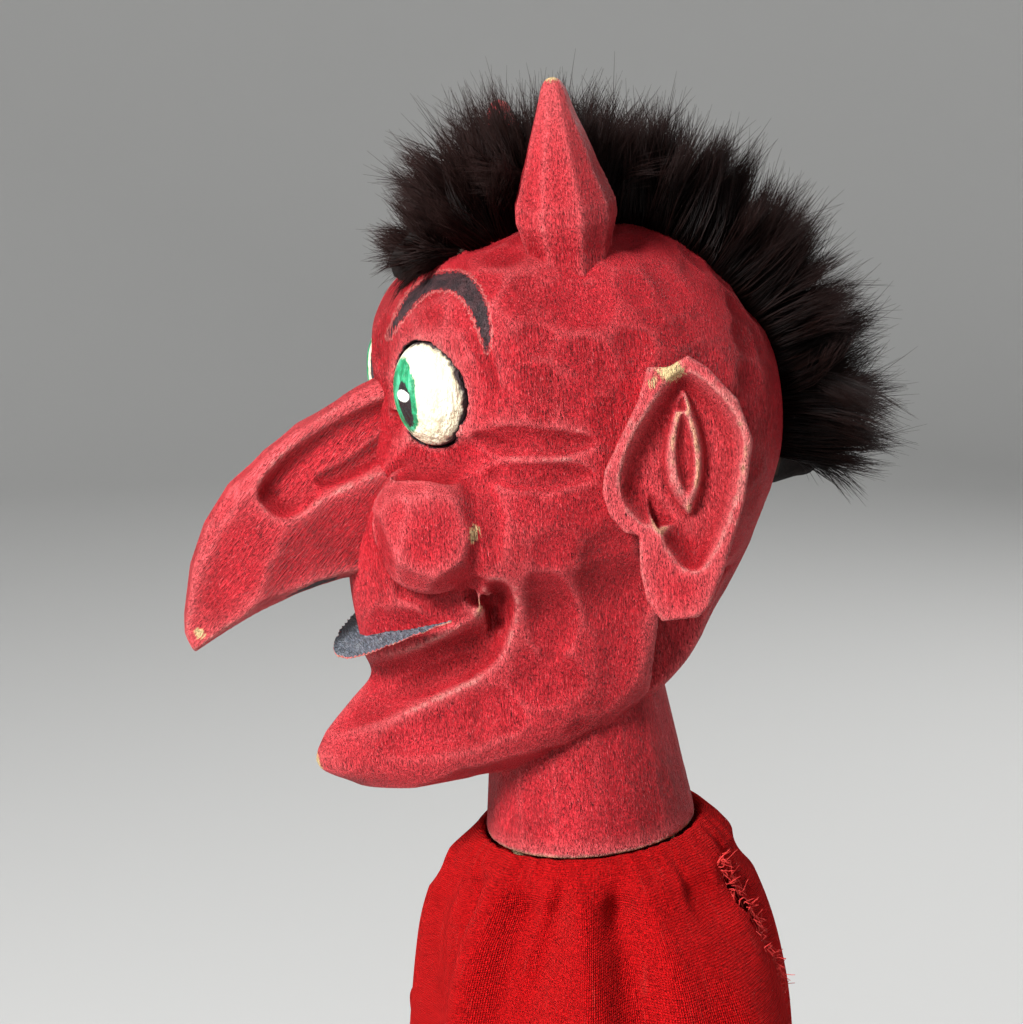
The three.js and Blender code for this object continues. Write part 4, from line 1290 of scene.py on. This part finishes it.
def glove_point(turn, v):
    """A point of the glove, from the tie at the neck (v = 0) to the hem (v = 1)."""
    table = np.array(COLLAR[::-1], float)
    lengths = np.concatenate([[0], np.cumsum(np.linalg.norm(np.diff(table, axis=0), axis=1))])
    place = np.clip(v / COLLAR_SHARE, 0, 1) * lengths[-1]
    collar_z = RIM_Z + np.interp(place, lengths, table[:, 0])
    collar_r = np.interp(place, lengths, table[:, 1])
    lower = np.clip((v - COLLAR_SHARE) / (1 - COLLAR_SHARE), 0, 1)
    height = np.where(v <= COLLAR_SHARE, collar_z, SKIRT_TOP * (1 - lower))
    body_r = glove_radius(turn, np.minimum(height, BODY_TOP))
    edge = glove_radius(turn, np.full_like(height, BODY_TOP))
    # the collar opens from a ring round the neck to the glove's own outline
    share = np.clip(v / COLLAR_SHARE, 0, 1) ** 2
    neck_r = collar_r * (1 - share) + share * collar_r * edge / 30.2
    join = np.clip(lower * 30, 0, 1)
    radius = np.where(v <= COLLAR_SHARE, neck_r, neck_r * (1 - join) + body_r * join)
    radius = np.maximum(radius, np.where(height > RIM_Z - 3.0, np.minimum(collar_r, radius), 0))
    folds = fold_pattern(turn, np.minimum(height, RIM_Z - 0.5), np.random.default_rng(FOLD_SEED))
    down = np.maximum(RIM_Z - height, 0)
    for start, drift, width, depth, reach in PLEATS:
        gap = (turn - start - drift * down + math.pi) % math.tau - math.pi
        shape = np.exp(-(gap / (width * (1 + down / 120))) ** 2)
        folds = folds + depth * shape * np.clip(down / 9, 0, 1) * np.exp(-(down / reach) ** 2)
    gather = 0.26 * np.sin(turn * 31 + 4 * np.sin(turn * 3) + 2 * np.sin(turn * 7))
    gather = gather * np.exp(-((height - RIM_Z + 2) / 6) ** 2)
    hem = 1 - 0.45 * np.exp(-(height / 16) ** 2)
    # the empty skirt of the glove hangs in broad uneven waves
    wander = 0.35 * np.sin(down / 47 + 2 * turn)
    drape = np.sin(6 * turn + 0.8 + wander) + 0.7 * np.sin(11 * turn + 2.4 - 2 * wander) \
        + 0.5 * np.sin(3 * turn + 1.1) + 0.3 * np.sin(19 * turn + 3 * wander)
    drape = 2.5 * drape * np.clip((down - 45) / 130, 0, 1)
    radius = radius + np.clip(folds, -7.5, 5.0) * hem * np.clip(down / 4, 0.12, 1) + gather * (v > 0.03)
    radius = radius + drape
    x, y = radius * np.sin(turn), -radius * np.cos(turn)
    tilt = np.clip((height - 205) / 50, 0, 1) ** 2
    return np.stack([x + 0 * height, y + 0 * height, height + tilt * y * math.sin(PITCH)], axis=-1)


def build_glove():
    columns, rows = ((560, 300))
    verts, quads = cloth_grid(
        columns, rows, lambda u, v: glove_point(u * math.tau + math.pi, v ** 1.12))
    grid = verts.reshape(rows, columns, 3)
    turn = (np.arange(columns) / columns * math.tau + math.pi)[None, :] + 0 * grid[..., 2]
    gap = tear_gap(turn % math.tau, grid[..., 2]).ravel()
    kept = (gap[quads] > 0).sum(axis=1) > 2
    glove = new_piece("glove_cloth", verts * MM, quads[kept])
    _, length = add_weave(glove, columns, rows, verts, quads[kept])
    glove["cloth_length"] = length * LENGTH_EASE
    glove.data.materials.append(CLOTH_SURFACE)
    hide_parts("glove_front", "glove_back", "collar_gather")
    hem = build_hem()
    threads = build_fraying()
    for piece in (glove, hem, threads):
        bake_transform(piece)


def build_hem():
    """The turned-up edge at the bottom, with its line of stitches."""
    columns, rows = 360, 26

    def shape(u, v):
        turn = u * math.tau + math.pi
        path = np.interp(v, [0, 0.1, 0.5, 0.9, 1], [0, 0.5, 6.0, 11.0, 11.4])
        lift = np.interp(v, [0, 0.1, 0.5, 0.9, 1], [0.1, 0.9, 1.0, 0.9, 0.2])
        along = COLLAR_SHARE + (1 - COLLAR_SHARE) * (1 - path / SKIRT_TOP)
        cloth = glove_point(turn, along + 0 * turn)
        out = np.stack([np.sin(turn), -np.cos(turn), 0 * turn], axis=-1)
        stitch = 0.35 * np.exp(-((path - 10.2) / 0.5) ** 2) * (1 + np.cos(turn * 150))
        return cloth + out * (lift - stitch)[..., None]

    verts, quads = cloth_grid(columns, rows, shape)
    hem = new_piece("glove_hem", verts * MM, quads[:, ::-1])
    add_weave(hem, columns, rows, verts, quads[:, ::-1])
    hem.data.materials.append(CLOTH_SURFACE)
    return hem


def build_fraying():
    """Loose threads round the hole and in the seam below it."""
    rng = np.random.default_rng(95)
    starts, headings, lengths = [], [], []
    while len(starts) < 170:
        turn = TEAR_AT[0] + rng.normal(0, 0.11)
        height = TEAR_AT[1] + rng.normal(0, 12)
        if abs(tear_gap(turn, height)) < 0.42:
            starts.append((turn, height))
            headings.append(rng.normal(0, 1, 3))
            lengths.append(rng.uniform(0.8, 3.0))
    for _ in range(60):
        height = rng.uniform(RIM_Z - 70, RIM_Z - 28)
        starts.append((TEAR_AT[0] + 0.10 + rng.normal(0, 0.012), height))
        headings.append(rng.normal(0, 1, 3))
        lengths.append(rng.uniform(0.6, 2.0))
    starts, headings, lengths = np.array(starts), np.array(headings), np.array(lengths)
    share = (SKIRT_TOP - starts[:, 1]) / SKIRT_TOP
    roots = glove_point(starts[:, 0], COLLAR_SHARE + (1 - COLLAR_SHARE) * np.clip(share, 0, 1))
    out = np.stack([np.sin(starts[:, 0]), -np.cos(starts[:, 0]), 0 * share], axis=1)
    headings = headings + out * 1.1
    headings /= np.linalg.norm(headings, axis=1)[:, None]
    t = np.linspace(0, 1, 8)[None, :, None]
    swirl = rng.normal(0, 1, (len(roots), 1, 3)) * np.sin(t * 5) * lengths[:, None, None] * 0.35
    paths = roots[:, None] + headings[:, None] * lengths[:, None, None] * t + swirl * t
    thick = np.full((len(roots), 8), 0.13) * (1 - 0.5 * np.linspace(0, 1, 8))
    threads = strand_mesh("frayed_threads", paths * MM, thick * MM)
    threads.data.materials.append(plain_fibre(
        "frayed_thread", (0.80, 0.06, 0.05, 1), (0.55, 0.012, 0.014, 1), 1.2, 0.0001))
    return threads


# sleeve: place along the arm from the middle, radius
SLEEVE_UPPER = [(22, 9.5), (30, 13.0), (38, 16.0), (46, 18.2), (54, 18.6), (62, 17.4), (72, 16.3), (80, 15.8)]
SLEEVE_LOWER = [(80, 15.8), (90, 15.6), (98, 15.4), (108, 14.6), (116, 13.4), (120.5, 12.6), (123, 13.0),
                (127, 14.0), (129.6, 14.3)]
SHOULDER = np.array(JOINTS["left_shoulder_raise"]["pos_m"]) / MM
ELBOW = np.array(JOINTS["left_elbow_reach"]["pos_m"]) / MM
ARM = (ELBOW - SHOULDER) / np.linalg.norm(ELBOW - SHOULDER)
ARM_UP = np.array([-ARM[2], 0, ARM[0]])


def arm_to_world(points, side):
    """Arm millimetres, with x along the arm as if it still lay level, to metres on either side."""
    points = np.asarray(points)
    out = SHOULDER + (points[..., :1] - SHOULDER[0]) * ARM + points[..., 2:] * ARM_UP
    out = out + points[..., 1:2] * np.array([0, 1, 0])
    return out * [side * MM, MM, MM]


ELBOW_X = SHOULDER[0] + np.linalg.norm(ELBOW - SHOULDER)
SHOULDER_BEND = (44, 66)
ELBOW_BEND = (ELBOW_X - 9, ELBOW_X + 9)
SLEEVE_SPLIT, WRIST_TIE = 80, 120.5


def build_sleeve(side, word):
    """Two joined lengths of sleeve, upper and lower."""
    arm, forearm = f"{word}_upper_arm", f"{word}_forearm"
    parts = (("upper", SLEEVE_UPPER, 101, ("glove", arm), SHOULDER_BEND),
             ("lower", SLEEVE_LOWER, 102, (arm, forearm), ELBOW_BEND))
    for name, table, seed, bodies, bend in parts:
        columns, rows = 150, (76 if name == "upper" else 80)
        stations, radii = np.array(table, float).T

        def shape(u, v):
            turn = u * math.tau
            x = stations[0] + v * (stations[-1] - stations[0])
            radius = np.interp(x, stations, radii)
            fold = np.zeros(np.broadcast(turn, x).shape)
            rng = np.random.default_rng(seed)
            for _ in range(22):
                at, around = rng.uniform(stations[0], stations[-1]), rng.uniform(0, math.tau)
                lean, size = rng.uniform(-9, 9), rng.uniform(1.6, 3.4)
                gap = (turn - around + math.pi) % math.tau - math.pi
                ridge = np.exp(-((x - at - lean * gap) / size) ** 2) * np.exp(-(gap / 0.9) ** 2)
                fold += rng.uniform(-0.9, 0.6) * ridge
            ends = np.clip((x - SLEEVE_SPLIT) * 0.2 * (1 if name == "lower" else -1), 0, 1)
            long_fold = 0.45 * np.sin(turn * 5 + 0.6 * np.sin(x / 9)) + 0.25 * np.sin(turn * 9 + x / 14)
            cinch = 0.5 * np.sin(turn * 24) * np.exp(-((x - WRIST_TIE) / 4) ** 2)
            radius = radius + fold * ends + long_fold + cinch
            return np.stack([x + 0 * turn, radius * np.cos(turn), radius * np.sin(turn)], axis=-1)

        verts, quads = cloth_grid(columns, rows, shape)
        quads = quads[:, ::side]
        piece = new_piece(f"{word}_sleeve_{name}", arm_to_world(verts, side), quads)
        _, length = add_weave(piece, columns, rows, verts, quads)
        piece["cloth_length"] = length * LENGTH_EASE
        piece.data.materials.append(CLOTH_SURFACE)
        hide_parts(f"{word}_sleeve" if name == "upper" else f"{word}_cuff")
        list(bodies)
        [tuple(arm_to_world([[at, 0, 0]], side)[0]) for at in bend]
        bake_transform(piece)


def build_hand(side, word):
    """A carved mitten of a hand: palm forwards, thumb up, finger lines cut in."""
    clay = Clay((112, -14, -18), (168, 14, 24), 0.55)
    clay.add(rod((116, 0, 0), (128, 0, 0), 11.0, 10.2))
    clay.add(ellipsoid((139, -0.5, -0.5), (15, 8.6, 13)), blend=4)
    for k in range(4):
        height = -9.6 + 5.7 * k
        reach = (158.5, 163.0, 165.2, 162.6)[k]
        clay.add(rod((140, -1.0, height * 0.9), (reach - 3.6, -2.6, height), 4.2, 3.3), blend=1.2)
    # the thumb, then the hollow of the palm and the finger's bore
    clay.add(rod((130, -3, 8), (143, -4.5, 16.5), 4.6, 3.4), blend=2.2)
    clay.add(rod((143, -4.5, 16.5), (149.5, -5.0, 17.5), 3.4, 2.8), blend=1.0)
    clay.cut(ellipsoid((143, -12.9, -0.5), (11, 5.2, 8.5)), blend=2)
    clay.cut(rod((106, 0, 0), (121, 0, 0), 8, 7.4))
    clay.scallops(160, 16, 0.25, seed=111)
    hand, _ = carved_piece(f"{word}_hand_carving", clay, lambda verts: arm_to_world(verts, 1),
                           mirror=side < 0, grain=(1, 0, 0))
    finish_piece(hand, HAND_SURFACE, f"{word}_forearm", "stained_wood", f"{word}_hand")


CORD_TWISTS = 34


def twisted_ring(name, centre, axis, radius, thickness, knot_turn):
    """A two-ply cord round a ring, with a knot and two short tails."""
    axis = np.array(axis, float) / np.linalg.norm(axis)
    u = np.cross(axis, (0.2, 0.3, 1.0) if abs(axis[2]) < 0.9 else (0, 1, 0))
    u /= np.linalg.norm(u)
    v = np.cross(axis, u)
    centre = np.array(centre, float)
    turn = np.linspace(0, math.tau, 241)
    paths = []
    for ply in (0, math.pi):
        wind = turn * CORD_TWISTS + ply
        out = radius + 0.5 * thickness * np.cos(wind)
        up = 0.5 * thickness * np.sin(wind)
        paths.append(centre + out[:, None] * (np.cos(turn)[:, None] * u + np.sin(turn)[:, None] * v)
                     + up[:, None] * axis)
    knot_out = math.cos(knot_turn) * u + math.sin(knot_turn) * v
    tangent = np.cross(axis, knot_out)
    t = np.linspace(0, 1, 241)[:, None]
    wrap = centre + knot_out * (radius + thickness * (0.6 + 0.9 * np.sin(t * 9))) \
        + axis * thickness * 1.3 * np.cos(t * 9 * 1.5) + tangent * thickness * 1.5 * np.sin(t * 23)
    paths.append(wrap)
    for lean in (-1, 1):
        paths.append(centre + knot_out * (radius + thickness * (1 + 0.8 * np.sin(t * 2.5)))
                     + tangent * lean * 9 * thickness * t - axis * thickness * 3.5 * t ** 2
                     + tangent * 0.3 * thickness * np.sin(t * 60))
    paths = np.stack(paths)
    thick = np.full(paths.shape[:2], 0.55 * thickness)
    return strand_mesh(name, paths * MM, thick * MM)


def build_cords():
    twine = plain_fibre("twine", (0.60, 0.46, 0.27, 1), (0.36, 0.25, 0.13, 1), 1.6, 0.0002)
    low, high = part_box("neck_cord")
    centre = (np.array(low) + np.array(high)) / 2 / MM
    neck = twisted_ring("neck_cord_twine", centre, TILT_AXIS, 15.4, 1.1, 2.2)
    finish_piece(neck, twine, "collar", "twine", "neck_cord")
    for side, word in ((1, "left"), (-1, "right")):
        low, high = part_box(f"{word}_wrist_cord")
        centre = (np.array(low) + np.array(high)) / 2 / MM
        cord = twisted_ring(f"{word}_wrist_twine", centre, ARM * [side, 1, 1], 13.5, 1.1, 4.4)
        finish_piece(cord, twine, f"{word}_forearm", "twine", f"{word}_wrist_cord")


def dress_frame_nodes():
    """Better finishes for the CAD nodes that stay in view."""
    board = plain_fibre("cardboard", (0.36, 0.25, 0.14, 1), (0.24, 0.16, 0.09, 1), 0.5, 0.0002)
    skin = plain_fibre("hide", (0.05, 0.030, 0.022, 1), (0.025, 0.014, 0.010, 1), 0.6, 0.0002)
    for node, surface in (("finger_tube", board), ("crest_hide", skin)):
        for slot in frame["nodes"][node].material_slots:
            slot.material = surface


EYE_SURFACE = eye_paint()
EAR_SURFACE = stained_wood("ear_wood")
HORN_SURFACE = stained_wood("horn_wood")
HAND_SURFACE = stained_wood("hand_wood")
CLOTH_SURFACE = red_cotton()

# ---------------------------------------------------------------- camera and light

VIEW_AZIMUTH = 76
VIEW_ELEVATION = 12
VIEW_DISTANCE = 0.440
FLOOR_GAP = 0.0005


def place_camera():
    """The camera looks at the head from its left, a little from the front and above."""
    azimuth, elevation = math.radians(VIEW_AZIMUTH), math.radians(VIEW_ELEVATION)
    back = Vector((math.sin(azimuth) * math.cos(elevation), -math.cos(azimuth) * math.cos(elevation),
                   math.sin(elevation)))
    data = bpy.data.cameras.new("camera")
    data.lens = 77.3
    data.sensor_width = 36
    data.clip_start = 0.01
    camera = bpy.data.objects.new("camera", data)
    bpy.context.scene.collection.objects.link(camera)
    camera.rotation_euler = back.to_track_quat("Z", "Y").to_euler()
    bpy.context.view_layer.update()
    # the neck's rim lies a little right of the picture's middle and well below it
    right = camera.matrix_world.to_3x3() @ Vector((1, 0, 0))
    up = camera.matrix_world.to_3x3() @ Vector((0, 1, 0))
    aim = Vector(NECK) - right * 0.0159 + up * 0.0614
    camera.location = aim + back * VIEW_DISTANCE
    bpy.context.scene.camera = camera


def add_light(name, place, aim, size, power, colour=(1, 1, 1)):
    data = bpy.data.lights.new(name, "AREA")
    data.shape = "DISK"
    data.size = size
    data.energy = power
    data.color = colour
    light = bpy.data.objects.new(name, data)
    bpy.context.scene.collection.objects.link(light)
    light.location = place
    light.rotation_euler = (Vector(place) - Vector(aim)).to_track_quat("Z", "Y").to_euler()


def build_studio():
    """A pale floor that sweeps up into a pale wall all round, one large soft key and two weak lights."""
    reach, rise, bend, sides = 2.6, 3.2, 0.9, 96
    profile = [(0.0, 0.0), (reach - bend, 0.0)]
    for turn in np.linspace(0, math.pi / 2, 14)[1:]:
        profile.append((reach - bend + bend * math.sin(turn), bend * (1 - math.cos(turn))))
    profile.append((reach, rise))
    radii, heights = np.array(profile[1:]).T
    turns = np.arange(sides) * math.tau / sides
    ring = np.stack([np.outer(radii, np.cos(turns)), np.outer(radii, np.sin(turns)),
                     np.repeat(heights[:, None], sides, axis=1)], axis=2).reshape(-1, 3)
    rows = len(radii)
    a = np.arange(rows - 1)[:, None] * sides + np.arange(sides)[None]
    b = np.arange(rows - 1)[:, None] * sides + (np.arange(sides)[None] + 1) % sides
    quads = np.stack([a, a + sides, b + sides, b], axis=2).reshape(-1, 4)
    middle = len(ring)
    fan = np.stack([np.full(sides, middle), np.arange(sides), (np.arange(sides) + 1) % sides], axis=1)
    floor = new_piece("floor", np.concatenate([ring, [[0, 0, 0]]]), quads, fan)
    floor.location.z = -FLOOR_GAP
    surface = bpy.data.materials.new("floor")
    surface.use_nodes = True
    shader = surface.node_tree.nodes["Principled BSDF"]
    shader.inputs["Base Color"].default_value = (0.60, 0.60, 0.59, 1)
    shader.inputs["Roughness"].default_value = 0.9
    floor.data.materials.append(surface)
    aim = (0, -0.02, 0.33)
    add_light("key", (0.62, -0.95, 1.02), aim, 0.42, 38)
    add_light("fill", (1.5, 0.75, 0.55), aim, 1.2, 3.6, (0.95, 0.97, 1))
    add_light("rim", (-0.8, 0.9, 0.95), aim, 0.6, 8)
    world = bpy.data.worlds.new("studio")
    world.use_nodes = True
    world.node_tree.nodes["Background"].inputs["Color"].default_value = (0.62, 0.63, 0.65, 1)
    world.node_tree.nodes["Background"].inputs["Strength"].default_value = 0.25
    bpy.context.scene.world = world
    bpy.context.scene.view_settings.view_transform = "Standard"


place_camera()
build_studio()
build_head()
build_lip()
build_nose()
build_neck()
for side, word in ((1, "left"), (-1, "right")):
    build_eye(side, word)
    build_ear(side, word)
    build_horn(side, word)
build_fur()
build_glove()
for side, word in ((1, "left"), (-1, "right")):
    build_sleeve(side, word)
    build_hand(side, word)
build_cords()
dress_frame_nodes()
